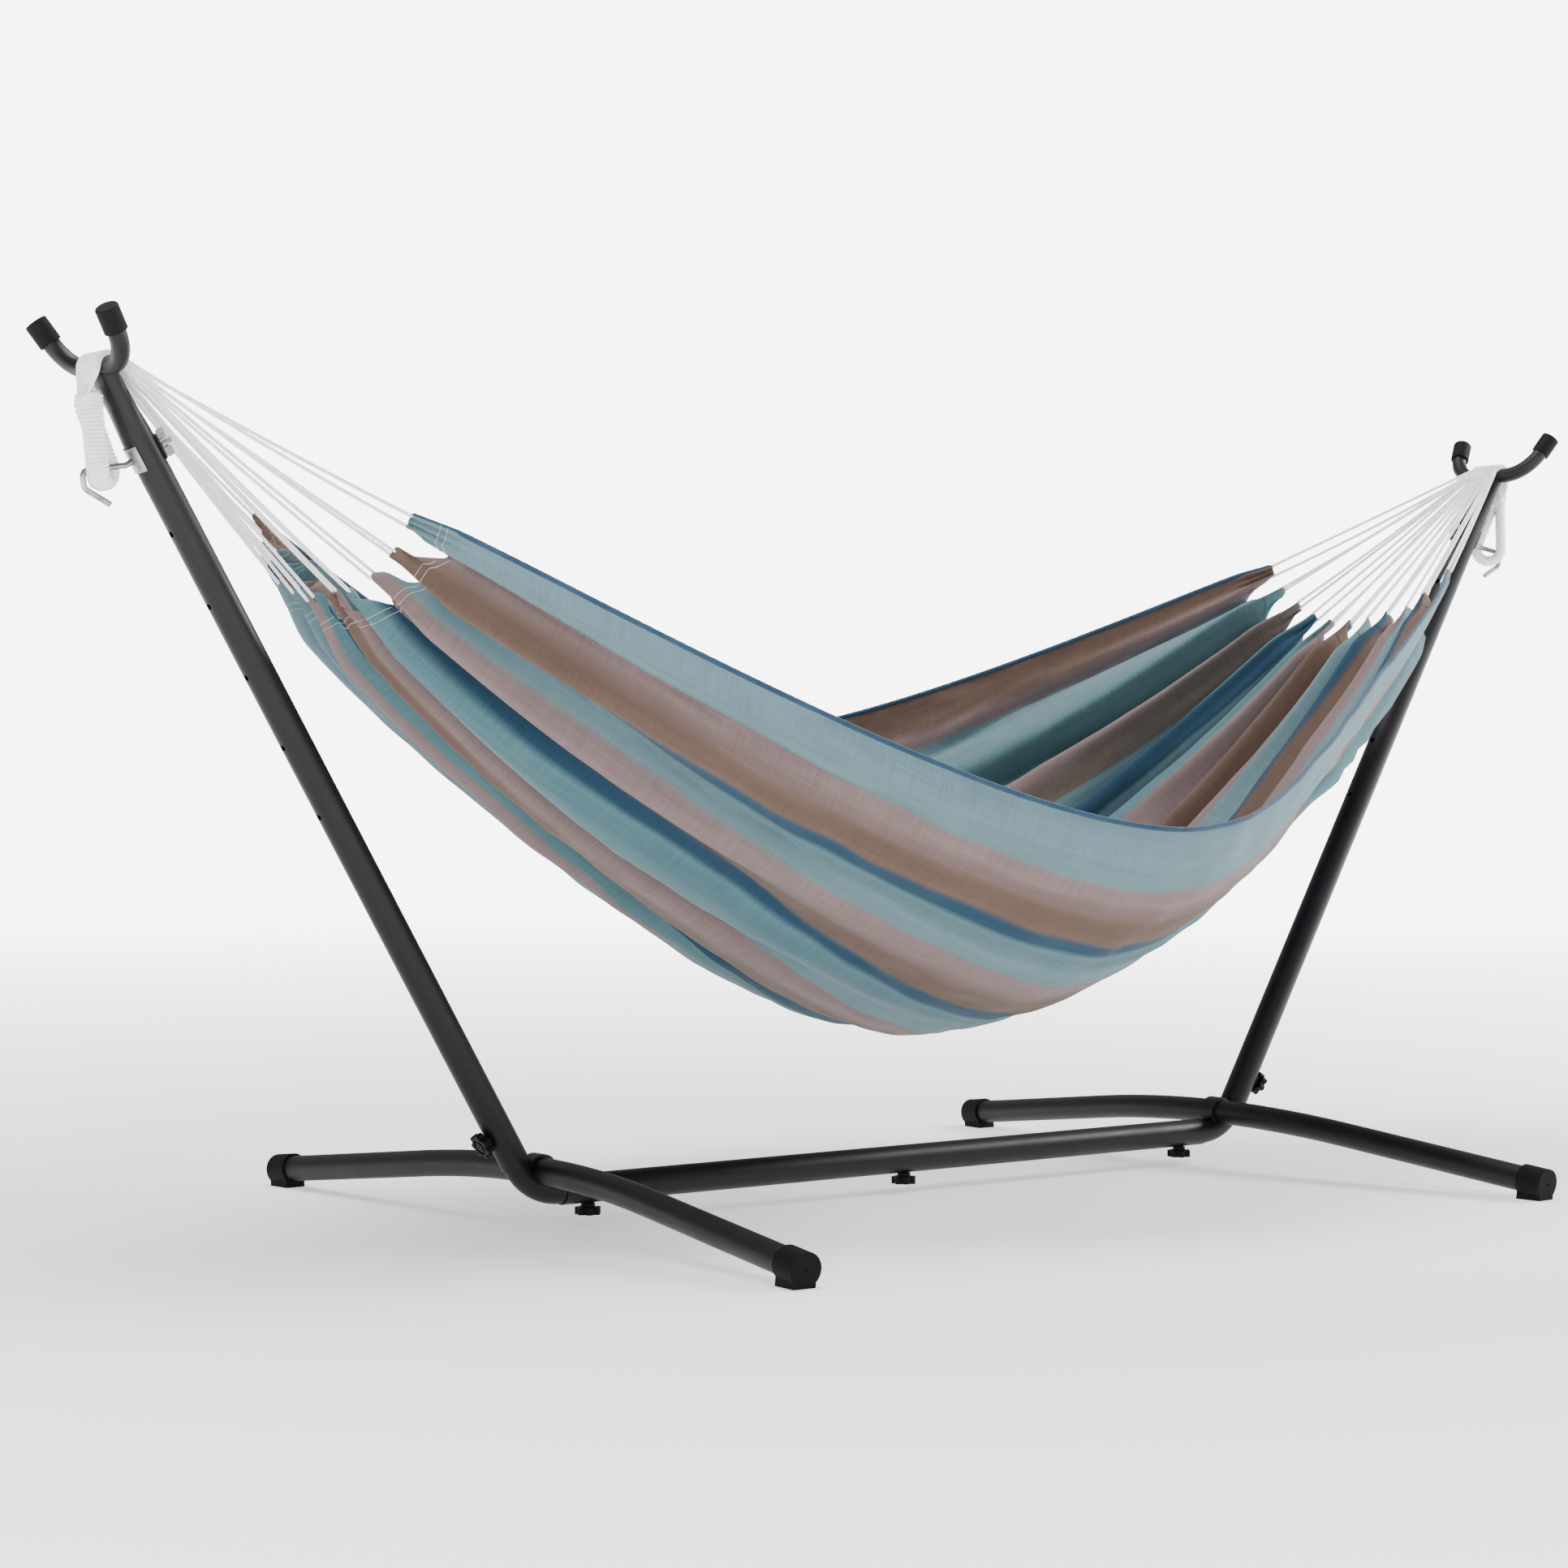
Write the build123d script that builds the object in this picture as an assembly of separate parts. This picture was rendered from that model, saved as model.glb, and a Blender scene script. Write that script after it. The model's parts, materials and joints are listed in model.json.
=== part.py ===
"""Cloth hammock on a tubular steel stand, each physical piece as its own solid.

Frame: +X along the hammock, +Y across it, +Z up, origin on the floor under the middle.
Lengths are in millimetres. Left is -X, right is +X, front is -Y, rear is +Y.
"""
import math
import os

from build123d import *

os.makedirs("parts", exist_ok=True)

# ---- driving dimensions of the steel frame ----
TUBE_OD = 38.0            # beam and uprights, 1.5 in tube
TUBE_WALL = 1.5
INNER_OD = 34.7           # elbows and coupler slide inside the 38 mm tube
BEAM_Z = 46.5             # height of the beam's axis
BEAM_END_X = 568.0        # where each beam end meets its elbow
BEAM_SEAM_X = 25.0        # butt joint of the two beam halves
COUPLER_REACH = 100.0     # coupler length on each side of the seam
ELBOW_CORNER_X = 612.9    # crossing of the beam's axis and the upright's axis
ELBOW_RADIUS = 75.0
ELBOW_INSERT = 70.0       # straight leg hidden inside each tube
UPRIGHT_ELEVATION = 59.1  # degrees above the floor
UPRIGHT_FOOT = 44.0       # distances along the upright's axis, from the elbow's corner
UPRIGHT_FORK = 1159.5
FLATTENED_LENGTH = 90.0   # the upright's top is pressed to an oval under the fork
FLATTENED_THICK = 22.0
COPE_DEPTH = 5.0          # the coped end stops this far short of the fork's axis

# ---- adjusting holes and hook ----
HOOK_HOLE_Z = 945.0
HOLE_PITCH = 96.5
HOLE_COUNT = 6
HOOK_ROD = 7.0
HOOK_BEND_OUT = 29.0      # where the shank levels out, from the upright's axis
HOOK_CORNERS = ((55.5, 9.0), (52.5, 29.5), (20.0, 46.0))  # outward and down from that bend
HOLE_D = 7.8
PLATE_LENGTH = 31.0
PLATE_THICK = 2.0
PLATE_HALF_ANGLE = 45.0
PAD_LENGTH = 30.0
PAD_THICK = 2.5
PAD_HALF_ANGLE = 50.0

# ---- fork ----
FORK_OD = 22.0
FORK_WALL = 1.5
FORK_ELEVATION = 56.5     # of the fork's plane, a little flatter than the upright
FORK_FLAT = 29.0          # half of the straight stretch that carries the rope
FORK_RADIUS = 55.0
FORK_TURN = 75.0
FORK_STRAIGHT = 26.0
HORN_CAP_OD = 28.0
HORN_CAP_LENGTH = 31.0
HORN_CAP_END = 3.0        # rubber beyond the tube's end

# ---- arched base tubes ----
BASE_OD = 35.0
BASE_WALL = 1.5
BASE_CROWN_X = 601.5
BASE_CROWN_Z = 74.0
BASE_END_X = 637.5
BASE_END_Y = 588.6
BASE_END_Z = 21.4
BASE_ARC_HALF = 250.0     # the arch is an arc this far each side, then straight
COLLAR_WALL = 4.0
COLLAR_LENGTH = 24.0
FOOT_OD = 42.0
FOOT_LENGTH = 38.0
FOOT_END = 4.0            # rubber beyond the tube's end
FOOT_SOLE_WIDTH = 30.0

# ---- clamping knobs ----
KNOB_LOBES = 7
KNOB_CORE_R = 13.2
KNOB_LOBE_R = 4.4
KNOB_LOBE_AT = 12.6
KNOB_HEAD = 9.5
KNOB_HUB_D = 18.0
KNOB_HUB = 5.0
KNOB_GROOVE_OUT = 21.0     # ring groove in the knob's face
KNOB_GROOVE_IN = 13.0
KNOB_GROOVE_DEEP = 1.6
STUD_D = 8.0
STUD_HOLE_D = 8.8
STUD_PLAY = 0.4
WELD_NUT_IN = 7.6
WELD_NUT_OUT = 13.6
WELD_NUT_D = 15.0
STUD_TIP = 6.0            # from the tube's axis to the stud's tip
BEAM_KNOB_X = (-525.0, 0.0, 525.0)
KNEE_KNOB_AT = 92.6       # along the upright's axis, from the elbow's corner

# ---- hammock bed, an open trough of cloth ----
BED_HALF_LENGTH = 900.0
BED_THICK = 4.0
BED_MID_HALF_WIDTH = 542.0
BED_MID_EDGE_Z = 508.0
BED_MID_KEEL_Z = 223.0
BED_TAPER = 436.0         # how much the half width falls towards each end
BED_TAPER_EASE = 0.195    # how slowly each curve leaves the middle, as a share of the half length
BED_TAPER_BACK = 25.0
BED_CORNER_TUCK = 28.0    # the corners are drawn in by the outermost cords
BED_CORNER_POWER = 14
BED_EDGE_RISE = 522.0
BED_EDGE_EASE = 0.342
BED_KEEL_RISE = 584.0
BED_KEEL_EASE = 0.174
BED_KEEL_LIFT = 82.0
BED_REAR_LIFT = 20.0      # the rear edge hangs higher, most of all in the middle
BED_REAR_BOW = 100.0
BED_ROUNDNESS = 1.3       # 1 is an ellipse, more is a narrower keel
EDGE_CORD_D = 8.0
FIT = 0.3                 # clearance kept between neighbouring pieces

# ---- rope work ----
CORD_D = 3.7
CORD_PITCH = 4.1          # between the two layers on the saddle
CORD_SPREAD = 3.8         # between neighbours in a layer
CORDS_PER_LAYER = 11
CORD_GAP = 3.0            # cords stop just short of the bed's end
CORD_START_X = 1193.0
LOOP_ROPE_WIDE = 23.0     # section of each whipped leg of the eye
LOOP_ROPE_THIN = 14.0
EYE_MIDDLE_OUT = 29.0     # centre of the eye's turn under the hook, from the shank's bend
EYE_MIDDLE_DOWN = 3.5
EYE_OFFSET_X = 14.0       # the eye hangs twisted: front leg further out, rear leg further in
EYE_OFFSET_Y = 13.5
SADDLE_WIDTH = 52.0
SADDLE_THICK = 7.5
SADDLE_WRAP_END = -18.0   # degrees; the bundle leaves the fork's outer side here
BUNDLE_PAST = 14.0         # straight run of the bundle past the saddle, before it is cut
NECK_WIDE = 27.0          # the whipped neck under the saddle
NECK_BELOW = 28.0
CORD_SLOPE = 32.7         # degrees below level, where the cords leave the saddle

LEAN = math.radians(90.0 - UPRIGHT_ELEVATION)
UP_X = math.sin(LEAN)
UP_Z = math.cos(LEAN)
FORK_X = ELBOW_CORNER_X + UP_X * UPRIGHT_FORK
FORK_Z = BEAM_Z + UP_Z * UPRIGHT_FORK
SWING_Z = FORK_Z + 10.0   # the cords turn where they leave the saddle

SIDES = {"left": -1, "right": 1}
ENDS = {"front": -1, "rear": 1}


def save(node, *solids):
    """Writes the solids of one node."""
    shape = solids[0] if len(solids) == 1 else Compound(children=list(solids))
    export_step(shape, f"parts/{node}.step")


def mirrored(shape, side):
    """The shape built on the right, or its mirror image on the left."""
    return shape if side > 0 else mirror(shape, about=Plane.YZ)


def upright_point(along, outward=0.0, y=0.0):
    """A point given along the right upright's axis and outward, square to it."""
    return Vector(
        ELBOW_CORNER_X + UP_X * along + UP_Z * outward,
        y,
        BEAM_Z + UP_Z * along - UP_X * outward,
    )


def upright_plane(along):
    """Square to the right upright: local x points outward, local z up the tube."""
    return Plane(upright_point(along), x_dir=(UP_Z, 0, -UP_X), z_dir=(UP_X, 0, UP_Z))


def outward_plane(along, outward=0.0):
    """Facing outward from the right upright: local z is the outward normal."""
    return Plane(upright_point(along, outward), x_dir=(0, 1, 0), z_dir=(UP_Z, 0, -UP_X))


def rod(plane, start, end, diameter):
    """A round bar along a plane's normal, between two heights."""
    return plane * Pos(0, 0, start) * Cylinder(
        diameter / 2, end - start, align=(Align.CENTER, Align.CENTER, Align.MIN)
    )


def tube_along(path, outer, inner):
    """A hollow tube along a path."""
    start = Plane(path @ 0, z_dir=path % 0)
    ring = start * (Circle(outer / 2) - Circle(inner / 2))
    return sweep(ring, path=path)


def bar_along(path, diameter):
    """A solid round bar along a path."""
    start = Plane(path @ 0, z_dir=path % 0)
    return sweep(start * Circle(diameter / 2), path=path)


# ---- where the knobs sit: planes whose normal points from the tube's axis to the knob ----
def beam_knob_plane(x):
    """Under the beam."""
    return Plane((x, 0, BEAM_Z), x_dir=(0, 1, 0), z_dir=(0, 0, -1))


KNEE_PLANE = outward_plane(KNEE_KNOB_AT)


def knob(plane):
    """A lobed clamping knob: head, hub and threaded stud in one moulding."""
    hub_foot = TUBE_OD / 2 + FIT
    head_foot = hub_foot + KNOB_HUB
    head_top = head_foot + KNOB_HEAD
    head = rod(plane, head_foot, head_top, 2 * KNOB_CORE_R)
    for lobe in range(KNOB_LOBES):
        spot = plane * Rot(0, 0, 360.0 * lobe / KNOB_LOBES) * Pos(KNOB_LOBE_AT, 0, head_foot)
        head += spot * Cylinder(
            KNOB_LOBE_R, KNOB_HEAD, align=(Align.CENTER, Align.CENTER, Align.MIN)
        )
    groove = rod(plane, head_top - KNOB_GROOVE_DEEP, head_top + 1, KNOB_GROOVE_OUT)
    groove -= rod(plane, head_top - 2 * KNOB_GROOVE_DEEP, head_top + 2, KNOB_GROOVE_IN)
    head -= groove
    hub = rod(plane, hub_foot, head_foot, KNOB_HUB_D)
    stud = rod(plane, STUD_TIP, hub_foot + 1, STUD_D)
    return head + hub + stud


def stud_hole(plane):
    """The hole that a knob's stud passes through, in one wall."""
    return rod(plane, 0.0, TUBE_OD, STUD_HOLE_D)


def weld_nut(plane):
    """The nut inside the inner tube that a stud screws into."""
    body = rod(plane, WELD_NUT_IN, WELD_NUT_OUT, WELD_NUT_D)
    return body - rod(plane, WELD_NUT_IN - 1, WELD_NUT_OUT + 1, STUD_D + STUD_PLAY)


# ---- frame ----
def beam_tube(start_x, end_x):
    """A straight length of the beam."""
    along = Plane((start_x, 0, BEAM_Z), z_dir=(1, 0, 0))
    return rod(along, 0, end_x - start_x, TUBE_OD) - rod(
        along, -1, end_x - start_x + 1, TUBE_OD - 2 * TUBE_WALL
    )


def coupler():
    """The inner tube that joins the beam's halves."""
    along = Plane((BEAM_SEAM_X - COUPLER_REACH, 0, BEAM_Z), z_dir=(1, 0, 0))
    return rod(along, 0, 2 * COUPLER_REACH, INNER_OD) - rod(
        along, -1, 2 * COUPLER_REACH + 1, INNER_OD - 2 * TUBE_WALL
    )


def elbow():
    """The right elbow, bent from the tube that slides into beam and upright."""
    start = (BEAM_END_X - ELBOW_INSERT, 0, BEAM_Z)
    corner = (ELBOW_CORNER_X, 0, BEAM_Z)
    end = upright_point(UPRIGHT_FOOT + ELBOW_INSERT + 30.0)
    path = FilletPolyline(start, corner, tuple(end), radius=ELBOW_RADIUS)
    return tube_along(path, INNER_OD, INNER_OD - 2 * TUBE_WALL)


def upright():
    """The right upright: round tube, its top pressed to an oval and coped to the fork."""
    round_end = UPRIGHT_FORK - FLATTENED_LENGTH
    inner_d = TUBE_OD - 2 * TUBE_WALL
    oval_wide = FLATTENED_THICK + (math.pi / 2) * (TUBE_OD - FLATTENED_THICK)
    foot = upright_plane(UPRIGHT_FOOT)
    body = rod(foot, 0, round_end - UPRIGHT_FOOT, TUBE_OD)
    bore = rod(foot, -1, round_end - UPRIGHT_FOOT, inner_d)
    low = upright_plane(round_end)
    high = upright_plane(UPRIGHT_FORK - COPE_DEPTH)
    body += loft([
        low * Circle(TUBE_OD / 2),
        high * SlotOverall(oval_wide, FLATTENED_THICK, rotation=90),
    ])
    bore += loft([
        low * Circle(inner_d / 2),
        high * SlotOverall(oval_wide - 2 * TUBE_WALL, FLATTENED_THICK - 2 * TUBE_WALL, rotation=90),
    ])
    tube = body - bore
    saddle = Plane((FORK_X, 0, FORK_Z), z_dir=(0, 1, 0))
    tube -= rod(saddle, -oval_wide, oval_wide, FORK_OD + 0.1)
    for hole in range(HOLE_COUNT):
        tube -= rod(outward_plane(hole_along(hole)), -TUBE_OD, TUBE_OD, HOLE_D)
    return tube


def hole_along(index):
    """Distance of an adjusting hole along the upright's axis, the top one first."""
    return (HOOK_HOLE_Z - BEAM_Z) / UP_Z - index * HOLE_PITCH


def fork_path():
    """The fork's centreline: a straight saddle, a bend and a straight horn on each side."""
    tilt = math.radians(FORK_ELEVATION)
    normal = (math.sin(tilt), 0, -math.cos(tilt))
    plane = Plane((FORK_X, 0, FORK_Z), x_dir=(0, 1, 0), z_dir=normal)
    turn = math.radians(FORK_TURN)
    corner_y = FORK_FLAT + FORK_RADIUS * math.tan(turn / 2)
    horn = FORK_STRAIGHT + FORK_RADIUS * math.tan(turn / 2)
    end_y = corner_y + horn * math.cos(turn)
    end_s = horn * math.sin(turn)
    with BuildLine(plane) as line:
        FilletPolyline((-end_y, end_s), (-corner_y, 0), (corner_y, 0), (end_y, end_s), radius=FORK_RADIUS)
    return line.wires()[0]


def horn_cap(end):
    """The rubber cap on one horn of the right fork."""
    path = fork_path()
    place = 1 if end > 0 else 0
    tip = path @ place
    outward = (path % place) * (1 if place == 1 else -1)
    plane = Plane(tip, z_dir=outward)
    cap = rod(plane, HORN_CAP_END - HORN_CAP_LENGTH, HORN_CAP_END, HORN_CAP_OD)
    cap = fillet(cap.edges().sort_by_distance(tip + outward * 40)[0], 2.5)
    return cap - rod(plane, -HORN_CAP_LENGTH, FIT / 2, FORK_OD + 0.2)


def base_path():
    """The right base tube's centreline, from the front foot to the rear foot."""
    drop_x = BASE_END_X - BASE_CROWN_X
    drop_z = BASE_END_Z - BASE_CROWN_Z
    drop = math.hypot(drop_x, drop_z)
    down = Vector(drop_x, 0, drop_z) / drop
    # The arc leaves BASE_ARC_HALF at an angle that makes the straight legs end at the feet.
    angle = 2 * math.atan(drop / (2 * BASE_END_Y - BASE_ARC_HALF))
    for _ in range(20):
        arc_drop = BASE_ARC_HALF * math.tan(angle / 2)
        angle = math.atan((drop - arc_drop) / (BASE_END_Y - BASE_ARC_HALF))
    tube_end = BASE_END_Y - FOOT_END * math.cos(angle)
    end_drop = drop - FOOT_END * math.sin(angle)
    arc_drop = BASE_ARC_HALF * math.tan(angle / 2)
    plane = Plane((BASE_CROWN_X, 0, BASE_CROWN_Z), x_dir=(0, 1, 0), z_dir=Vector(0, 1, 0).cross(down))
    with BuildLine(plane) as line:
        Line((-tube_end, end_drop), (-BASE_ARC_HALF, arc_drop))
        ThreePointArc((-BASE_ARC_HALF, arc_drop), (0, 0), (BASE_ARC_HALF, arc_drop))
        Line((BASE_ARC_HALF, arc_drop), (tube_end, end_drop))
    return line.wires()[0]


def collar():
    """The sleeve let into the elbow, which holds the base tube at its crown."""
    plane = Plane((BASE_CROWN_X, 0, BASE_CROWN_Z), z_dir=(0, 1, 0))
    half = COLLAR_LENGTH / 2
    return rod(plane, -half, half, BASE_OD + 2 * COLLAR_WALL) - rod(
        plane, -half - 1, half + 1, BASE_OD + FIT
    )


def collar_seat():
    """What the elbow gives up for the collar and the base tube."""
    plane = Plane((BASE_CROWN_X, 0, BASE_CROWN_Z), z_dir=(0, 1, 0))
    half = COLLAR_LENGTH / 2 + 0.1
    return rod(plane, -half, half, BASE_OD + 2 * COLLAR_WALL + 0.1) + rod(
        plane, -40, 40, BASE_OD + FIT
    )


def foot(end):
    """A rubber foot: a round cap with a thick flat sole."""
    path = base_path()
    place = 1 if end > 0 else 0
    tip = path @ place
    outward = (path % place) * (1 if place == 1 else -1)
    plane = Plane(tip, x_dir=(1, 0, 0), z_dir=outward)
    cap = rod(plane, FOOT_END - FOOT_LENGTH, FOOT_END, FOOT_OD)
    sole = plane * Box(
        FOOT_SOLE_WIDTH, 60, FOOT_LENGTH, align=(Align.CENTER, Align.CENTER, Align.MAX)
    ).moved(Pos(0, 0, FOOT_END))
    sole &= Pos(tip.X, tip.Y, 0) * Box(100, 200, 30, align=(Align.CENTER, Align.CENTER, Align.MIN))
    below = Pos(tip.X, tip.Y, 0) * Box(200, 300, 60, align=(Align.CENTER, Align.CENTER, Align.MAX))
    cap = (cap + sole) - below
    vent = rod(plane, FOOT_END - 1.2, FOOT_END + 1, 4.0)
    return cap - vent - rod(plane, -FOOT_LENGTH, FIT / 2, BASE_OD + 0.2)


# ---- hook hardware ----
def wrapped_plate(inward, length, thick, half_angle):
    """A strip bent round the upright at the hook's hole, on its outer or inner side."""
    centre = upright_plane(hole_along(0))
    inner_r = TUBE_OD / 2 + FIT / 2
    ring = rod(centre, -length / 2, length / 2, 2 * (inner_r + thick))
    ring -= rod(centre, -length, length, 2 * inner_r)
    reach = 40.0
    half = math.radians(half_angle)
    sign = -1 if inward else 1
    with BuildSketch(centre) as wedge:
        with BuildLine():
            Polyline(
                (0, 0),
                (sign * reach * math.cos(half), reach * math.sin(half)),
                (sign * reach, 0),
                (sign * reach * math.cos(half), -reach * math.sin(half)),
                close=True,
            )
        make_face()
    ring &= extrude(wedge.sketch, amount=length, both=True)
    return ring - rod(outward_plane(hole_along(0)), -TUBE_OD, TUBE_OD, HOLE_D)


def hook_path():
    """The hook's centreline: threaded shank through the tube, then the turned-under tail."""
    inner_end = upright_point(hole_along(0), -37.0)
    bend = upright_point(hole_along(0), HOOK_BEND_OUT)
    corners = [bend + Vector(out, 0, -drop) for out, drop in HOOK_CORNERS]
    return FilletPolyline(tuple(inner_end), tuple(bend), *[tuple(c) for c in corners], radius=8.5)


def wing_nut():
    """The wing nut on the shank's inner end."""
    face = -(TUBE_OD / 2 + PAD_THICK + FIT)
    plane = outward_plane(hole_along(0))
    body = rod(plane, face - 7.0, face, 13.0)
    for side in (-1, 1):
        wing = plane * Pos(0, side * 11.0, face - 7.5) * Box(2.4, 13.0, 10.0)
        body += fillet(wing.edges().filter_by(lambda e: abs(e.length - 2.4) < 0.01), 3.0)
    return body - rod(plane, face - 30, face + 5, HOOK_ROD + FIT)


# ---- rope work ----
def around_saddle(degrees, radius):
    """A point round the fork's saddle, from level outward through the top."""
    angle = math.radians(degrees)
    return Vector(FORK_X + math.cos(angle) * radius, 0, FORK_Z + math.sin(angle) * radius)


def saddle_bundle():
    """Flat bundle of strands over the fork, cut square where the cords begin."""
    wrap_r = FORK_OD / 2 + FIT + SADDLE_THICK / 2
    start = SADDLE_WRAP_END
    end = 90.0 + CORD_SLOPE
    slope = math.radians(end)
    leave = around_saddle(end, wrap_r) + Vector(-math.sin(slope), 0, math.cos(slope)) * BUNDLE_PAST
    path = Wire([
        ThreePointArc(
            around_saddle(start, wrap_r), around_saddle((start + end) / 2, wrap_r), around_saddle(end, wrap_r)
        ),
        Line(around_saddle(end, wrap_r), leave),
    ])
    foot = Plane(path @ 0, x_dir=(0, 1, 0), z_dir=path % 0)
    bundle = sweep(foot * RectangleRounded(SADDLE_WIDTH, SADDLE_THICK, 0.45 * SADDLE_THICK), path=path)
    past = Pos(CORD_START_X + 2.0, 0, leave.Z) * Box(
        60, 2 * SADDLE_WIDTH, 60, align=(Align.MAX, Align.CENTER, Align.CENTER)
    )
    return bundle - past


def neck_plane():
    """Where the whipping ends, square to the bundle; local x across, local y inward."""
    wrap_r = FORK_OD / 2 + FIT + SADDLE_THICK / 2
    slope = math.radians(SADDLE_WRAP_END)
    down = Vector(math.sin(slope), 0, -math.cos(slope))
    outward = Vector(math.cos(slope), 0, math.sin(slope))
    middle = around_saddle(SADDLE_WRAP_END, wrap_r) + down * NECK_BELOW
    middle += outward * ((NECK_WIDE - SADDLE_THICK) / 2)
    return Plane(middle, x_dir=(0, 1, 0), z_dir=down)


def end_loop():
    """The whipped eye on the hook, its neck, and the flat bundle over the fork's saddle."""
    wrap_r = FORK_OD / 2 + FIT + SADDLE_THICK / 2
    neck = neck_plane()
    top = Plane(around_saddle(SADDLE_WRAP_END, wrap_r), x_dir=(0, 1, 0), z_dir=neck.z_dir)
    whole = saddle_bundle()
    whole += loft([
        top * RectangleRounded(SADDLE_WIDTH, SADDLE_THICK, 0.45 * SADDLE_THICK),
        neck * RectangleRounded(NECK_WIDE, NECK_WIDE, 0.45 * NECK_WIDE),
    ])
    bend = upright_point(hole_along(0), HOOK_BEND_OUT)
    middle = Vector(bend.X + EYE_MIDDLE_OUT, 0, bend.Z - EYE_MIDDLE_DOWN)
    turn_r = math.hypot(EYE_OFFSET_X, EYE_OFFSET_Y)
    across = Vector(-EYE_OFFSET_X, EYE_OFFSET_Y, 0) / turn_r
    side = Vector(EYE_OFFSET_Y, EYE_OFFSET_X, 0) / turn_r
    strand = Ellipse(LOOP_ROPE_WIDE / 2, LOOP_ROPE_THIN / 2)
    for way in (1, -1):
        low = Plane(middle + across * way * turn_r, x_dir=side, z_dir=(0, 0, 1))
        high_at = neck.origin + Vector(0, way * LOOP_ROPE_THIN / 2, 0)
        high = Plane(high_at, x_dir=(1, 0, 0), z_dir=(0, 0, 1))
        whole += loft([low * strand, high * strand])
    under = revolve(low * strand, Axis(middle, side), 180)
    return whole + under


def cord_ends():
    """Start and end of each cord of the right fan, in two layers over the saddle."""
    pairs = []
    total = 2 * CORDS_PER_LAYER
    for index in range(total):
        column, layer = divmod(index, 2)
        start_y = (column - (CORDS_PER_LAYER - 1) / 2) * CORD_SPREAD
        start = Vector(CORD_START_X, start_y, SWING_Z + (layer - 0.5) * CORD_PITCH)
        share = (index + 0.5) / total
        end = bed_point(BED_HALF_LENGTH + CORD_GAP, share, BED_THICK / 2)
        pairs.append((start, end))
    return pairs


def cord_fan():
    """The cords from the saddle to the gathered end of the bed, each its own solid."""
    cords = []
    for start, end in cord_ends():
        line = Line(start, end)
        cords.append(bar_along(Wire([line]), CORD_D))
    return cords


# ---- bed ----
def softened(t, corner):
    """Rises like t but leaves zero smoothly; corner is the rounding's size."""
    return math.sqrt(t * t + corner * corner) - corner


def bed_half_width(x):
    """Half the bed's width at a station."""
    t = abs(x) / BED_HALF_LENGTH
    taper = BED_TAPER * softened(t, BED_TAPER_EASE) - BED_TAPER_BACK * t ** 4
    return BED_MID_HALF_WIDTH - taper - BED_CORNER_TUCK * t ** BED_CORNER_POWER


def bed_edge_z(x, front):
    """Height of the bed's long edge; the rear edge hangs a little higher."""
    t = min(abs(x) / BED_HALF_LENGTH, 1.0)
    low = BED_MID_EDGE_Z + BED_EDGE_RISE * softened(t, BED_EDGE_EASE)
    return low if front else low + BED_REAR_LIFT + BED_REAR_BOW * (1.0 - t)


def bed_keel_z(x):
    """Height of the bed's lowest line."""
    t = abs(x) / BED_HALF_LENGTH
    return BED_MID_KEEL_Z + BED_KEEL_RISE * softened(t, BED_KEEL_EASE) + BED_KEEL_LIFT * t ** 4


def bed_point(x, share, inset=0.0):
    """A point of the trough's section: share runs from the front edge (0) to the rear (1)."""
    angle = math.pi * share
    half_width = bed_half_width(x) - inset
    level = 0.5 - 0.5 * math.cos(angle)
    edge = (1 - level) * bed_edge_z(x, True) + level * bed_edge_z(x, False)
    depth = edge - bed_keel_z(x) - inset
    return Vector(x, -half_width * math.cos(angle), edge - depth * math.sin(angle) ** BED_ROUNDNESS)


def bed_section(x):
    """The closed band that the cloth makes across the bed at a station."""
    shares = [index / 12 for index in range(13)]
    outer = Spline(*[bed_point(x, share) for share in shares])
    inner = Spline(*[bed_point(x, share, BED_THICK) for share in shares])
    front = Line(bed_point(x, 0), bed_point(x, 0, BED_THICK))
    rear = Line(bed_point(x, 1), bed_point(x, 1, BED_THICK))
    return Face(Wire([outer, rear, inner, front]))


def bed():
    """The cloth trough, open at the top and at both gathered ends."""
    stations = [BED_HALF_LENGTH * index / 6 for index in range(-6, 7)]
    return loft([bed_section(x) for x in stations])


def edge_cord(front):
    """The piped cord sewn along one long edge of the bed."""
    lift = 1.35 * (EDGE_CORD_D / 2 + FIT)
    stations = [BED_HALF_LENGTH * index / 6 for index in range(-6, 7)]
    points = []
    for x in stations:
        edge = bed_point(x, 0 if front else 1, BED_THICK / 2)
        points.append(Vector(edge.X, edge.Y, edge.Z + lift))
    return bar_along(Wire([Spline(*points)]), EDGE_CORD_D)


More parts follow.
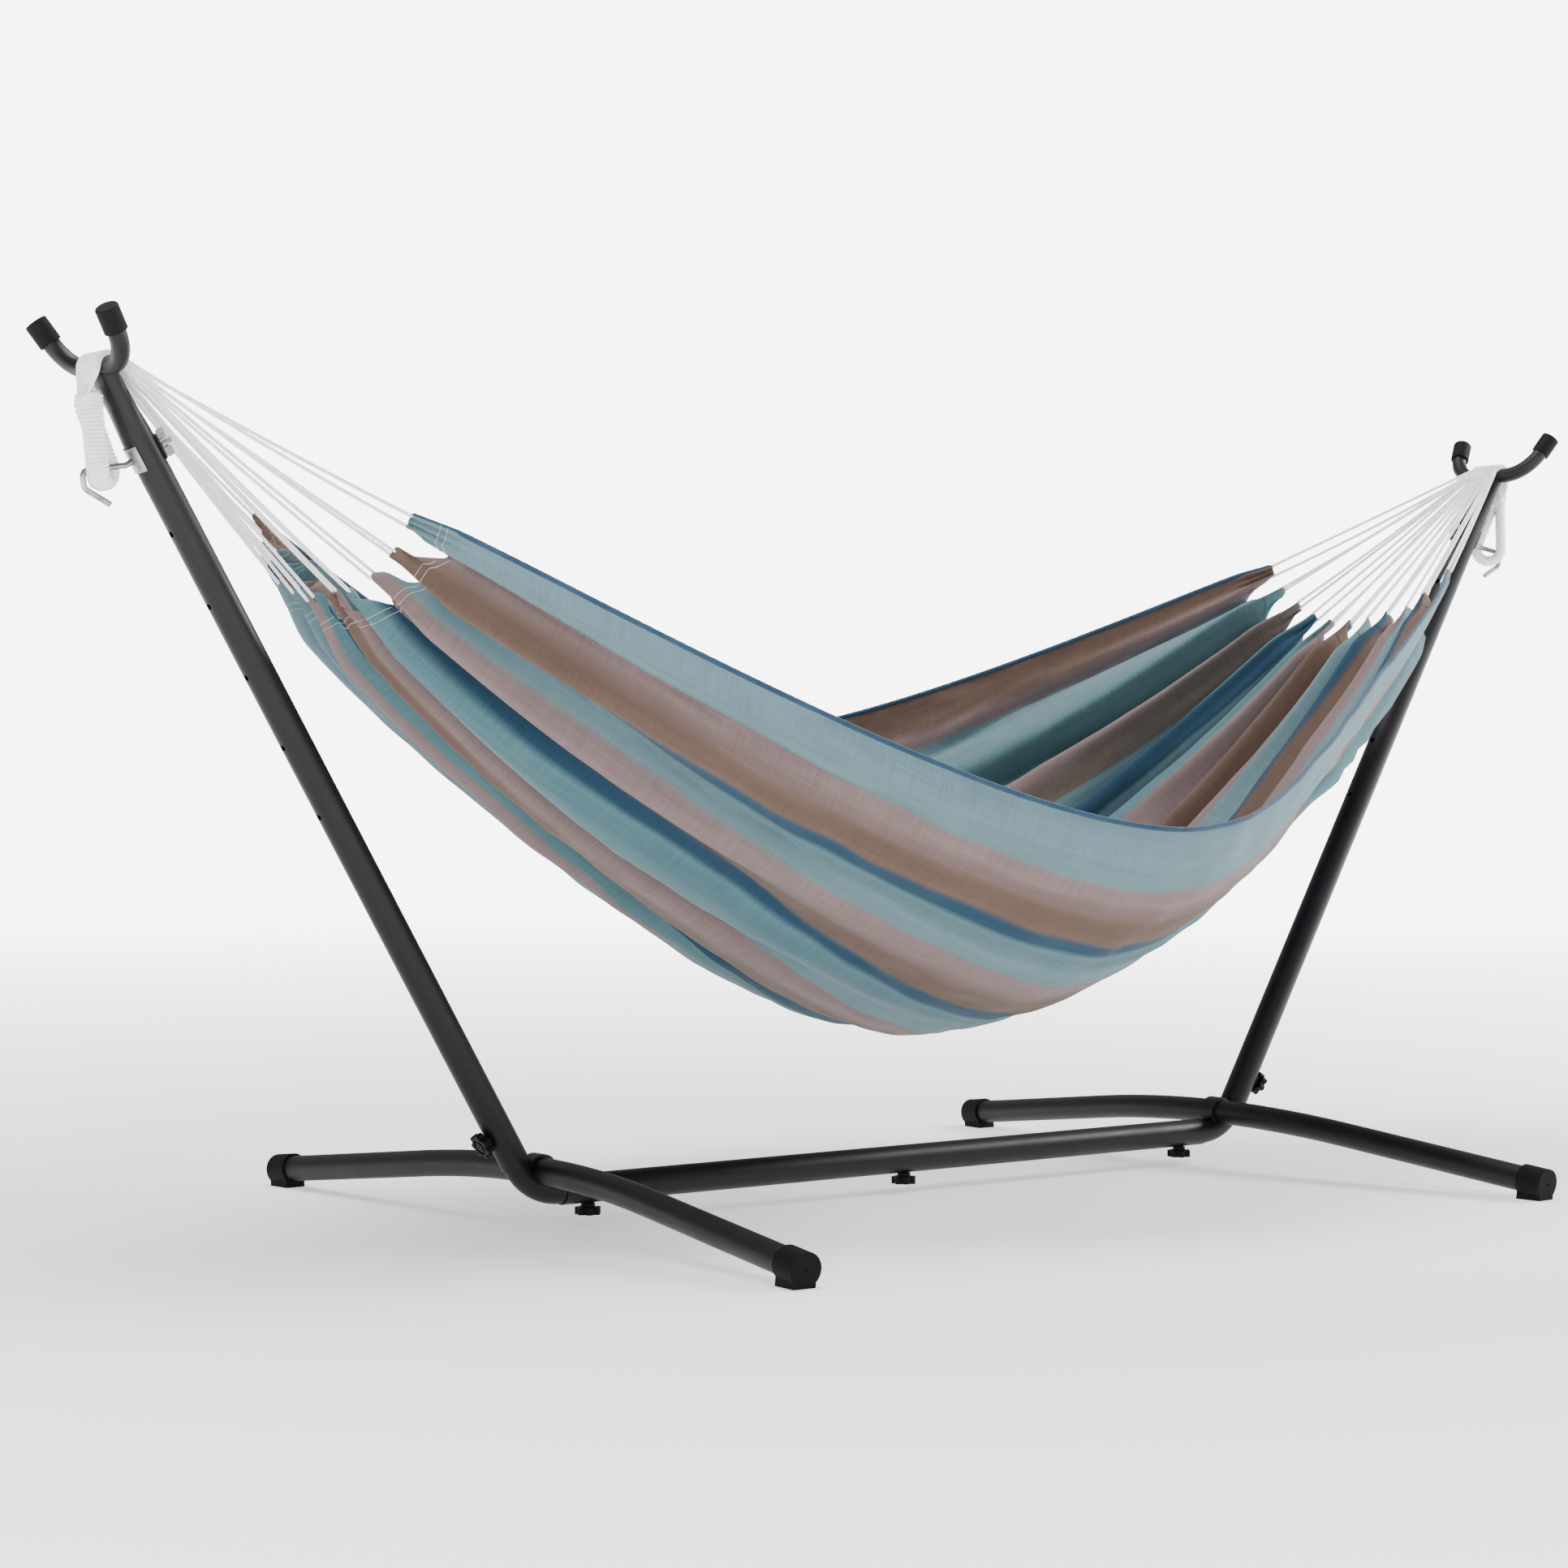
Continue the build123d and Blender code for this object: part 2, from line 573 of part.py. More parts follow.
# ---- write every node ----
for name, side in SIDES.items():
    knee_hole = stud_hole(KNEE_PLANE)
    beam_hole = stud_hole(beam_knob_plane(BEAM_KNOB_X[2]))
    save(f"elbow_{name}", mirrored(elbow() - collar_seat() - knee_hole - beam_hole, side))
    save(f"base_collar_{name}", mirrored(collar(), side))
    save(f"base_tube_{name}", mirrored(tube_along(base_path(), BASE_OD, BASE_OD - 2 * BASE_WALL), side))
    save(f"upright_{name}", mirrored(upright() - knee_hole, side))
    save(f"fork_{name}", mirrored(tube_along(fork_path(), FORK_OD, FORK_OD - 2 * FORK_WALL), side))
    for end_name, end in ENDS.items():
        save(f"horn_cap_{name}_{end_name}", mirrored(horn_cap(end), side))
        save(f"foot_{name}_{end_name}", mirrored(foot(end), side))
    save(f"knee_knob_{name}", mirrored(knob(KNEE_PLANE), side))
    save(f"hook_{name}", mirrored(bar_along(hook_path(), HOOK_ROD), side))
    plate = wrapped_plate(False, PLATE_LENGTH, PLATE_THICK, PLATE_HALF_ANGLE)
    save(f"hook_plate_{name}", mirrored(plate, side))
    pad = wrapped_plate(True, PAD_LENGTH, PAD_THICK, PAD_HALF_ANGLE)
    save(f"saddle_pad_{name}", mirrored(pad, side))
    save(f"wing_nut_{name}", mirrored(wing_nut(), side))
    save(f"end_loop_{name}", mirrored(end_loop(), side))
    save(f"cords_{name}", *[mirrored(cord, side) for cord in cord_fan()])

left_hole = stud_hole(beam_knob_plane(BEAM_KNOB_X[0]))
middle_hole = stud_hole(beam_knob_plane(BEAM_KNOB_X[1]))
right_hole = stud_hole(beam_knob_plane(BEAM_KNOB_X[2]))
save("beam_left", beam_tube(-BEAM_END_X, BEAM_SEAM_X - 0.1) - left_hole - middle_hole)
save("beam_right", beam_tube(BEAM_SEAM_X + 0.1, BEAM_END_X) - right_hole)
save("beam_coupler", coupler() - middle_hole)
for name, x in zip(("left", "middle", "right"), BEAM_KNOB_X):
    save(f"beam_knob_{name}", knob(beam_knob_plane(x)))
nut_places = [beam_knob_plane(x) for x in BEAM_KNOB_X]
knee_nut = weld_nut(KNEE_PLANE)
save("weld_nuts", *[weld_nut(place) for place in nut_places], knee_nut, mirror(knee_nut, about=Plane.YZ))
save("hammock_bed", bed())
save("edge_cord_front", edge_cord(True))
save("edge_cord_rear", edge_cord(False))
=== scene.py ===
"""Looks for the cloth hammock on its tubular steel stand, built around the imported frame.

Everything is in metres. +X runs along the hammock, -Y is the front, +Z is up.
"""
import json
import logging
import math
from dataclasses import dataclass, field
from enum import Enum
from typing import Callable, Optional, Sequence

import bpy
import numpy as np
from mathutils import Matrix, Vector, noise


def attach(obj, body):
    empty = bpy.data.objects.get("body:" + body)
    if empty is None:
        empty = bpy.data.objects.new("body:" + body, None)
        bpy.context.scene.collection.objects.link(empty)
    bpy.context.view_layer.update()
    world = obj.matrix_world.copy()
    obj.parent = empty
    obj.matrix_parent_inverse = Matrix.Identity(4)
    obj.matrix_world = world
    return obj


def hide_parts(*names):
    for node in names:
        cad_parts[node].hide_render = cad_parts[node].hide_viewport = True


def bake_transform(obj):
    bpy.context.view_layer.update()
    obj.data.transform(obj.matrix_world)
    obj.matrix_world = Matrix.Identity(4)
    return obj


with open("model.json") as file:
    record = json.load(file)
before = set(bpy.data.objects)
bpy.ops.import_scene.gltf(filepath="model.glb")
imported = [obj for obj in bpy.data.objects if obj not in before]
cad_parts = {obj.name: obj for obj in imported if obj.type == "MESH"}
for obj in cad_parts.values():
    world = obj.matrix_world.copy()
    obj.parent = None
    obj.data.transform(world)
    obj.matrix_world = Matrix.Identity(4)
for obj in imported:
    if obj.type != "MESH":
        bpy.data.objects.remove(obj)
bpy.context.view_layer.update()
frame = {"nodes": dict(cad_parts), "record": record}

LOG = logging.getLogger("hammock")
HAMMOCK = "hammock"
STAND = "stand"
Colour = tuple[float, float, float]


class End(Enum):
    """Which end of the hammock, as the sign of X."""

    LEFT = -1
    RIGHT = 1

    @property
    def word(self) -> str:
        """The end's name as the nodes spell it."""
        return self.name.lower()


class Edge(Enum):
    """Which long edge of the cloth, as its share of the cloth's width."""

    FRONT = 0
    REAR = 1


def linear(red: int, green: int, blue: int) -> Colour:
    """Turns a display colour into the linear values that shaders use.

    Args:
        red: Red from 0 to 255.
        green: Green from 0 to 255.
        blue: Blue from 0 to 255.

    Returns:
        The three linear values.
    """
    def one(value: int) -> float:
        """One channel, from 0 to 255, as a linear value."""
        part = value / 255.0
        return part / 12.92 if part <= 0.04045 else ((part + 0.055) / 1.055) ** 2.4

    return one(red), one(green), one(blue)


def rgba(colour: Colour) -> tuple[float, float, float, float]:
    """The colour with full alpha."""
    return (*colour, 1.0)


def ramp01(value: np.ndarray, start: float, end: float) -> np.ndarray:
    """Eases from 0 at start to 1 at end.

    Args:
        value: Where to read the ease.
        start: Where it leaves 0.
        end: Where it reaches 1.

    Returns:
        Values from 0 to 1.
    """
    t = np.clip((value - start) / (end - start), 0.0, 1.0)
    return t * t * (3.0 - 2.0 * t)


# ---------------------------------------------------------------- finishes
class Shader:
    """A material under construction, with short ways to add and join its nodes."""

    def __init__(self, name: str) -> None:
        """Makes the material and finds its surface shader.

        Args:
            name: The material's name.
        """
        self.material = bpy.data.materials.new(name)
        self.material.use_nodes = True
        self.nodes = self.material.node_tree.nodes
        self.links = self.material.node_tree.links
        self.surface = self.nodes["Principled BSDF"]

    def put(self, **values: object) -> None:
        """Sets sockets of the surface shader; underscores stand for spaces."""
        for name, value in values.items():
            self.surface.inputs[name.replace("_", " ")].default_value = value

    def node(self, kind: str, inputs: Optional[dict] = None, **settings: object) -> bpy.types.Node:
        """Adds a node.

        Args:
            kind: The node's type, without its "ShaderNode" prefix.
            inputs: Socket values by name or number; a socket here is linked.
            settings: The node's own settings.

        Returns:
            The new node.
        """
        made = self.nodes.new("ShaderNode" + kind)
        for name, value in settings.items():
            setattr(made, name, value)
        for name, value in (inputs or {}).items():
            if isinstance(value, bpy.types.NodeSocket):
                self.links.new(value, made.inputs[name])
            else:
                made.inputs[name].default_value = value
        return made

    def math(self, kind: str, first: object, second: object = 0.0) -> bpy.types.NodeSocket:
        """One arithmetic step between sockets or numbers."""
        return self.node("Math", {0: first, 1: second}, operation=kind).outputs[0]

    def blend(self, share: object, first: object, second: object) -> bpy.types.NodeSocket:
        """Mixes two colours by a share from 0 to 1."""
        return self.node("Mix", {0: share, 6: first, 7: second}, data_type="RGBA").outputs[2]

    def noise(self, where: bpy.types.NodeSocket, scale: float, detail: float = 3.0) -> bpy.types.NodeSocket:
        """Cloudy values.

        Args:
            where: The coordinates to read.
            scale: Cells per metre.
            detail: How many finer layers are added.

        Returns:
            A socket with values from 0 to 1.
        """
        made = self.node("TexNoise", {"Vector": where, "Scale": scale, "Detail": detail, "Roughness": 0.6})
        return made.outputs["Fac"]

    def spread(self, value: object, low: float, high: float, to_low: float, to_high: float) -> object:
        """Maps a range of values onto another, clamped.

        Args:
            value: The values to map.
            low: The value that becomes to_low.
            high: The value that becomes to_high.
            to_low: Start of the new range.
            to_high: End of the new range.

        Returns:
            The mapped socket.
        """
        names = {"Value": value, "From Min": low, "From Max": high, "To Min": to_low, "To Max": to_high}
        return self.node("MapRange", names).outputs[0]

    def place(self) -> bpy.types.NodeSocket:
        """Coordinates of the piece itself, in metres."""
        return self.node("TexCoord").outputs["Object"]

    def stretched(self, where: bpy.types.NodeSocket, scale: Sequence[float]) -> bpy.types.NodeSocket:
        """Coordinates scaled along each axis."""
        return self.node("Mapping", {"Vector": where, "Scale": scale}).outputs[0]

    def colour(self, source: object) -> None:
        """Joins the base colour."""
        self.links.new(source, self.surface.inputs["Base Color"])

    def roughness(self, source: object) -> None:
        """Joins the roughness."""
        self.links.new(source, self.surface.inputs["Roughness"])

    def relief(self, height: object, distance: float, strength: float = 1.0) -> None:
        """Joins a bump made from heights.

        Args:
            height: Heights from 0 to 1.
            distance: The height of 1, in metres.
            strength: How strongly it shows.
        """
        bump = self.node("Bump", {"Height": height, "Distance": distance, "Strength": strength})
        self.links.new(bump.outputs[0], self.surface.inputs["Normal"])


@dataclass(frozen=True)
class PowderCoat:
    """Satin black powder coat with a fine orange peel and a little dust and rub."""

    base: Colour = linear(13, 12, 17)
    rubbed: Colour = linear(29, 28, 33)
    peel_scale: float = 900.0
    peel_height: float = 0.00006

    def make(self) -> bpy.types.Material:
        """Builds the material.

        Returns:
            The finished material.
        """
        paint = Shader("black_powder_coat")
        place = paint.place()
        cloud = paint.noise(place, 14.0)
        speck = paint.noise(place, 260.0, 4.0)
        mottled = paint.spread(cloud, 0.35, 0.7, 0.0, 0.22)
        dusty = paint.math("ADD", mottled, paint.spread(speck, 0.62, 0.75, 0.0, 0.25))
        paint.colour(paint.blend(dusty, rgba(self.base), rgba(self.rubbed)))
        paint.roughness(paint.spread(cloud, 0.3, 0.7, 0.4, 0.52))
        paint.put(Specular_IOR_Level=0.28)
        paint.relief(paint.noise(place, self.peel_scale, 2.0), self.peel_height, 0.6)
        return paint.material


@dataclass(frozen=True)
class Moulding:
    """Black rubber or nylon with a fine matt grain."""

    name: str
    base: Colour
    worn: Colour
    rough: float
    grain_scale: float
    grain_height: float

    def make(self) -> bpy.types.Material:
        """Builds the material.

        Returns:
            The finished material.
        """
        stuff = Shader(self.name)
        place = stuff.place()
        cloud = stuff.noise(place, 30.0)
        grain = stuff.noise(place, self.grain_scale, 4.0)
        stuff.colour(stuff.blend(stuff.spread(cloud, 0.4, 0.75, 0.0, 0.6), rgba(self.base), rgba(self.worn)))
        stuff.roughness(stuff.spread(grain, 0.3, 0.7, self.rough - 0.07, self.rough + 0.08))
        stuff.put(Specular_IOR_Level=0.15)
        stuff.relief(grain, self.grain_height, 0.7)
        return stuff.material


@dataclass(frozen=True)
class ZincPlate:
    """Bright zinc plate with soft blotches and fine drawing marks."""

    base: Colour = linear(176, 176, 174)
    dull: Colour = linear(128, 128, 127)

    def make(self) -> bpy.types.Material:
        """Builds the material.

        Returns:
            The finished material.
        """
        zinc = Shader("zinc_plate")
        place = zinc.place()
        cloud = zinc.noise(place, 120.0)
        marks = zinc.noise(zinc.stretched(place, (60.0, 900.0, 900.0)), 1.0, 2.0)
        zinc.colour(zinc.blend(zinc.spread(cloud, 0.3, 0.7, 0.0, 1.0), rgba(self.base), rgba(self.dull)))
        zinc.roughness(zinc.spread(marks, 0.3, 0.7, 0.26, 0.48))
        zinc.put(Metallic=1.0)
        zinc.relief(marks, 0.00005, 0.5)
        return zinc.material


@dataclass(frozen=True)
class CottonRope:
    """White braided cotton: short fibres, faint shadow between the strands."""

    name: str = "white_rope"
    base: Colour = linear(248, 244, 246)
    shade: Colour = linear(205, 197, 201)
    fibre_scale: float = 1400.0

    def make(self) -> bpy.types.Material:
        """Builds the material.

        Returns:
            The finished material.
        """
        cotton = Shader(self.name)
        place = cotton.place()
        cloud = cotton.noise(place, 90.0)
        fibre = cotton.noise(place, self.fibre_scale, 4.0)
        mottled = cotton.math("MULTIPLY", cotton.spread(cloud, 0.35, 0.7, 0.0, 0.8), fibre)
        cotton.colour(cotton.blend(mottled, rgba(self.base), rgba(self.shade)))
        cotton.roughness(cotton.spread(fibre, 0.3, 0.7, 0.82, 0.95))
        cotton.put(Sheen_Weight=0.35, Sheen_Roughness=0.45, Specular_IOR_Level=0.2)
        cotton.relief(fibre, 0.0005, 0.6)
        return cotton.material


class Dye(Enum):
    """The cloth's dyes, as linear colours; the teal and the taupe are painted shade, aqua and pink darkened
    as they look in the shadow of the folds.
    """

    AQUA = linear(100, 125, 133)
    # painted shade: aqua darkened as it looks in the shadow of the pleat valleys
    TEAL = linear(80, 112, 119)
    PINK = linear(124, 107, 106)
    BROWN = linear(98, 80, 70)
    # painted shade: pink darkened as it looks in the shadow of the folds
    TAUPE = linear(94, 85, 79)
    BLUE = linear(38, 66, 86)


@dataclass(frozen=True)
class Stripe:
    """One stripe: the share of the width where it ends, its dye, and how softly it ends."""

    end: float
    dye: Dye
    fade: float = 0.0016


# Stripes from the front edge to the rear; the teal and taupe stripes are painted shade, darker bands of aqua
# and pink where the folds shade them.
STRIPES: tuple[Stripe, ...] = (
    Stripe(0.066, Dye.AQUA),
    Stripe(0.096, Dye.PINK, 0.012),
    Stripe(0.140, Dye.BROWN),
    Stripe(0.160, Dye.BLUE),
    Stripe(0.186, Dye.TEAL, 0.012),
    Stripe(0.218, Dye.AQUA),
    Stripe(0.262, Dye.PINK, 0.013),
    Stripe(0.308, Dye.BROWN),
    Stripe(0.332, Dye.BLUE),
    Stripe(0.368, Dye.TEAL, 0.014),
    Stripe(0.412, Dye.AQUA),
    Stripe(0.452, Dye.PINK, 0.012),
    Stripe(0.500, Dye.BROWN),
    Stripe(0.532, Dye.BLUE),
    Stripe(0.550, Dye.TEAL),
    Stripe(0.592, Dye.PINK),
    Stripe(0.620, Dye.TEAL, 0.010),
    Stripe(0.650, Dye.AQUA),
    Stripe(0.685, Dye.BLUE),
    Stripe(0.708, Dye.TEAL, 0.010),
    Stripe(0.732, Dye.AQUA),
    Stripe(0.770, Dye.TAUPE, 0.006),
    Stripe(0.797, Dye.PINK),
    Stripe(0.813, Dye.BLUE),
    Stripe(0.870, Dye.TEAL, 0.018),
    Stripe(0.926, Dye.AQUA),
    Stripe(0.946, Dye.PINK, 0.006),
    Stripe(1.000, Dye.BROWN),
)


@dataclass(frozen=True)
class StripedCloth:
    """Woven cotton with stripes along its length, read from the cloth's own map.

    The map's first value is metres along the cloth and the second is the share of its width.
    """

    width: float = 1.38
    threads_per_metre: float = 900.0
    first_half: int = 14

    def ramp(self, cloth: Shader, share: object, stripes: Sequence[Stripe], first: float) -> object:
        """A colour ramp for a run of stripes.

        Args:
            cloth: The material under construction.
            share: The share of the width.
            stripes: The stripes of this run.
            first: Where the run starts.

        Returns:
            The colour socket.
        """
        made = cloth.node("ValToRGB", {0: share})
        stops = made.color_ramp.elements
        start = first
        places: list[tuple[float, Colour]] = []
        for stripe in stripes:
            places.append((start, stripe.dye.value))
            places.append((stripe.end - stripe.fade, stripe.dye.value))
            start = stripe.end + stripe.fade
        stops[0].position, stops[0].color = places[0][0], rgba(places[0][1])
        stops[1].position, stops[1].color = places[-1][0], rgba(places[-1][1])
        for where, colour in places[1:-1]:
            stop = stops.new(where)
            stop.color = rgba(colour)
        return made.outputs["Color"]

    def make(self) -> bpy.types.Material:
        """Builds the material.

        Returns:
            The finished material.
        """
        cloth = Shader("striped_cloth")
        chart = cloth.node("UVMap", uv_map="cloth")
        parts = cloth.node("SeparateXYZ", {0: chart.outputs[0]})
        along, share = parts.outputs[0], parts.outputs[1]
        split = STRIPES[self.first_half - 1].end
        low = self.ramp(cloth, share, STRIPES[:self.first_half], 0.0)
        high = self.ramp(cloth, share, STRIPES[self.first_half:], split)
        striped = cloth.blend(cloth.math("GREATER_THAN", share, split), low, high)
        across = cloth.math("MULTIPLY", share, self.width)
        flat = cloth.node("CombineXYZ", {0: along, 1: across}).outputs[0]
        warp = cloth.noise(cloth.stretched(flat, (9.0, 700.0, 1.0)), 1.0, 3.0)
        weft = cloth.noise(cloth.stretched(flat, (600.0, 14.0, 1.0)), 1.0, 2.0)
        bands = cloth.noise(cloth.stretched(flat, (0.6, 34.0, 1.0)), 1.0, 2.0)
        cloudy = cloth.noise(flat, 11.0, 3.0)
        slub = cloth.math("ADD", warp, weft)
        light = cloth.spread(slub, 0.7, 1.35, 0.84, 1.15)
        light = cloth.math("MULTIPLY", light, cloth.spread(bands, 0.3, 0.7, 0.9, 1.09))
        light = cloth.math("MULTIPLY", light, cloth.spread(cloudy, 0.3, 0.7, 0.96, 1.04))
        shaded = cloth.node("VectorMath", {0: striped}, operation="SCALE")
        cloth.links.new(light, shaded.inputs["Scale"])
        cloth.colour(shaded.outputs[0])
        cloth.roughness(cloth.spread(slub, 0.7, 1.3, 0.78, 0.94))
        cloth.put(Sheen_Weight=0.12, Sheen_Roughness=0.4, Specular_IOR_Level=0.12)
        turns = 2.0 * math.pi * self.threads_per_metre
        over = cloth.math("SINE", cloth.math("MULTIPLY", across, turns))
        under = cloth.math("SINE", cloth.math("MULTIPLY", along, turns))
        weave = cloth.math("MULTIPLY", over, under)
        threads = cloth.spread(weave, -1.0, 1.0, 0.0, 0.5)
        height = cloth.math("ADD", threads, cloth.math("MULTIPLY", slub, 0.5))
        cloth.relief(height, 0.0004, 0.75)
        return cloth.material


@dataclass(frozen=True)
class Piping:
    """Plain dyed binding with a fine twill."""

    name: str = "blue_piping"
    base: Colour = linear(34, 60, 82)
    light: Colour = linear(58, 86, 108)

    def make(self) -> bpy.types.Material:
        """Builds the material.

        Returns:
            The finished material.
        """
        tape = Shader(self.name)
        place = tape.place()
        fibre = tape.noise(place, 900.0, 3.0)
        cloud = tape.noise(place, 25.0)
        faded = tape.math("MULTIPLY", tape.spread(cloud, 0.35, 0.7, 0.1, 0.9), fibre)
        tape.colour(tape.blend(faded, rgba(self.base), rgba(self.light)))
        tape.roughness(tape.spread(fibre, 0.3, 0.7, 0.78, 0.92))
        tape.put(Sheen_Weight=0.3, Sheen_Roughness=0.4, Specular_IOR_Level=0.22)
        tape.relief(fibre, 0.0005, 0.7)
        return tape.material


@dataclass(frozen=True)
class Thread:
    """Sewing thread."""

    name: str
    base: Colour

    def make(self) -> bpy.types.Material:
        """Builds the material.

        Returns:
            The finished material.
        """
        thread = Shader(self.name)
        fibre = thread.noise(thread.place(), 2500.0, 2.0)
        darker = tuple(0.7 * part for part in self.base)
        thread.colour(thread.blend(fibre, rgba(self.base), rgba(darker)))
        thread.put(Roughness=0.7, Sheen_Weight=0.2, Specular_IOR_Level=0.3)
        thread.relief(fibre, 0.0002, 0.6)
        return thread.material


# ---------------------------------------------------------------- mesh helpers
def mesh_piece(
    name: str, points: np.ndarray, faces: Sequence, material: bpy.types.Material
) -> bpy.types.Object:
    """Makes a smooth shaded mesh object in the scene.

    Args:
        name: The piece's name.
        points: Its corners, one row each.
        faces: Its faces as corner numbers.
        material: Its finish.

    Returns:
        The new object.
    """
    mesh = bpy.data.meshes.new(name)
    mesh.from_pydata(np.asarray(points, float).tolist(), [], [list(face) for face in faces])
    mesh.update()
    mesh.polygons.foreach_set("use_smooth", [True] * len(mesh.polygons))
    mesh.materials.append(material)
    piece = bpy.data.objects.new(name, mesh)
    bpy.context.scene.collection.objects.link(piece)
    return piece


class MeshBin:
    """Collects several closed shells into one mesh."""

    def __init__(self) -> None:
        """Starts empty."""
        self.points: list[np.ndarray] = []
        self.faces: list[tuple[int, ...]] = []
        self.count = 0

    def add(self, points: np.ndarray, faces: Sequence[Sequence[int]]) -> None:
        """Adds one shell.

        Args:
            points: Its corners.
            faces: Its faces, numbered within this shell.
        """
        self.faces.extend(tuple(corner + self.count for corner in face) for face in faces)
        self.points.append(points)
        self.count += len(points)

    def piece(self, name: str, material: bpy.types.Material, slot: str) -> bpy.types.Object:
        """Turns what was collected into an object of that name and finish."""
        return mesh_piece(name, np.concatenate(self.points), self.faces, material)


def resample(points: np.ndarray, step: float) -> np.ndarray:
    """Evenly spaced points along a polyline.

    Args:
        points: The polyline.
        step: The wanted spacing.

    Returns:
        The new points, first and last kept.
    """
    runs = np.linalg.norm(np.diff(points, axis=0), axis=1)
    where = np.concatenate([[0.0], np.cumsum(runs)])
    count = max(2, int(round(where[-1] / step)) + 1)
    wanted = np.linspace(0.0, where[-1], count)
    return np.stack([np.interp(wanted, where, points[:, axis]) for axis in range(3)], axis=1)


def frames_along(path: np.ndarray, across: Vector) -> tuple[np.ndarray, np.ndarray]:
    """Two directions square to a path at each point, without twist.

    Args:
        path: The path's points.
        across: A direction that the first one starts near.

    Returns:
        The first and the second direction at each point.
    """
    tangents = np.gradient(path, axis=0)
    tangents /= np.linalg.norm(tangents, axis=1)[:, None]
    first = np.zeros_like(path)
    side = np.array(across, float)
    for index, tangent in enumerate(tangents):
        side = side - tangent * float(side @ tangent)
        side /= np.linalg.norm(side)
        first[index] = side
    return first, np.cross(tangents, first)


def tube(
    path: np.ndarray,
    across: Vector,
    radius: Callable[[np.ndarray, np.ndarray], tuple[np.ndarray, np.ndarray]],
    sides: int,
) -> tuple[np.ndarray, list[tuple[int, ...]]]:
    """A closed tube with rounded ends along a path.

    Args:
        path: The path's points.
        across: The direction of the section's first axis.
        radius: Gives both half sizes from (metres along, angle) grids.
        sides: Corners round the section.

    Returns:
        Points and faces.
    """
    first, second = frames_along(path, across)
    runs = np.concatenate([[0.0], np.cumsum(np.linalg.norm(np.diff(path, axis=0), axis=1))])
    angle = 2.0 * math.pi * np.arange(sides) / sides
    along, around = np.meshgrid(runs, angle, indexing="ij")
    wide, thin = radius(along, around)
    rings = (
        path[:, None, :]
        + first[:, None, :] * (wide * np.cos(around))[..., None]
        + second[:, None, :] * (thin * np.sin(around))[..., None]
    )
    points = np.concatenate([rings.reshape(-1, 3), path[:1], path[-1:]])
    count = len(path)
    faces: list[tuple[int, ...]] = []
    for ring in range(count - 1):
        base = ring * sides
        for corner in range(sides):
            turn = (corner + 1) % sides
            faces.append((base + corner, base + turn, base + sides + turn, base + sides + corner))
    start, end = count * sides, count * sides + 1
    last = (count - 1) * sides
    for corner in range(sides):
        turn = (corner + 1) % sides
        faces.append((start, turn, corner))
        faces.append((end, last + corner, last + turn))
    return points, faces


@dataclass(frozen=True)
class Twist:
    """A laid or wrapped surface: ridges that run round a cord."""

    half_wide: float
    half_thin: float
    ridge: float
    strands: int
    pitch: float
    taper: float = 0.0

    def __call__(self, along: np.ndarray, around: np.ndarray) -> tuple[np.ndarray, np.ndarray]:
        """Half sizes at each point of the tube.

        Args:
            along: Metres along the tube.
            around: The angle round its section.

        Returns:
            Half the width and half the thickness.
        """
        phase = self.strands * (around - 2.0 * math.pi * along / self.pitch)
        swell = self.ridge * (np.abs(np.cos(0.5 * phase)) - 0.6)
        if self.taper > 0.0:
            total = along.max()
            close = np.minimum(along, total - along)
            round_off = np.sqrt(np.clip(1.0 - (1.0 - np.clip(close / self.taper, 0.0, 1.0)) ** 2, 0.02, 1.0))
        else:
            round_off = 1.0
        return (self.half_wide + swell) * round_off, (self.half_thin + swell) * round_off


@dataclass(frozen=True)
class Wrapping:
    """Turns of thin cord wound round a rope, each a rounded rib."""

    half_wide: float
    half_thin: float
    rib: float
    pitch: float
    taper: float = 0.004

    def __call__(self, along: np.ndarray, around: np.ndarray) -> tuple[np.ndarray, np.ndarray]:
        """Half sizes at each point of the tube.

        Args:
            along: Metres along the tube.
            around: The angle round its section.

        Returns:
            Half the width and half the thickness.
        """
        phase = math.pi * along / self.pitch - 0.5 * around
        swell = self.rib * (np.abs(np.sin(phase)) ** 0.7 - 0.6)
        total = along.max()
        close = np.minimum(along, total - along)
        round_off = np.sqrt(np.clip(1.0 - (1.0 - np.clip(close / self.taper, 0.0, 1.0)) ** 2, 0.05, 1.0))
        return (self.half_wide + swell) * round_off, (self.half_thin + swell) * round_off


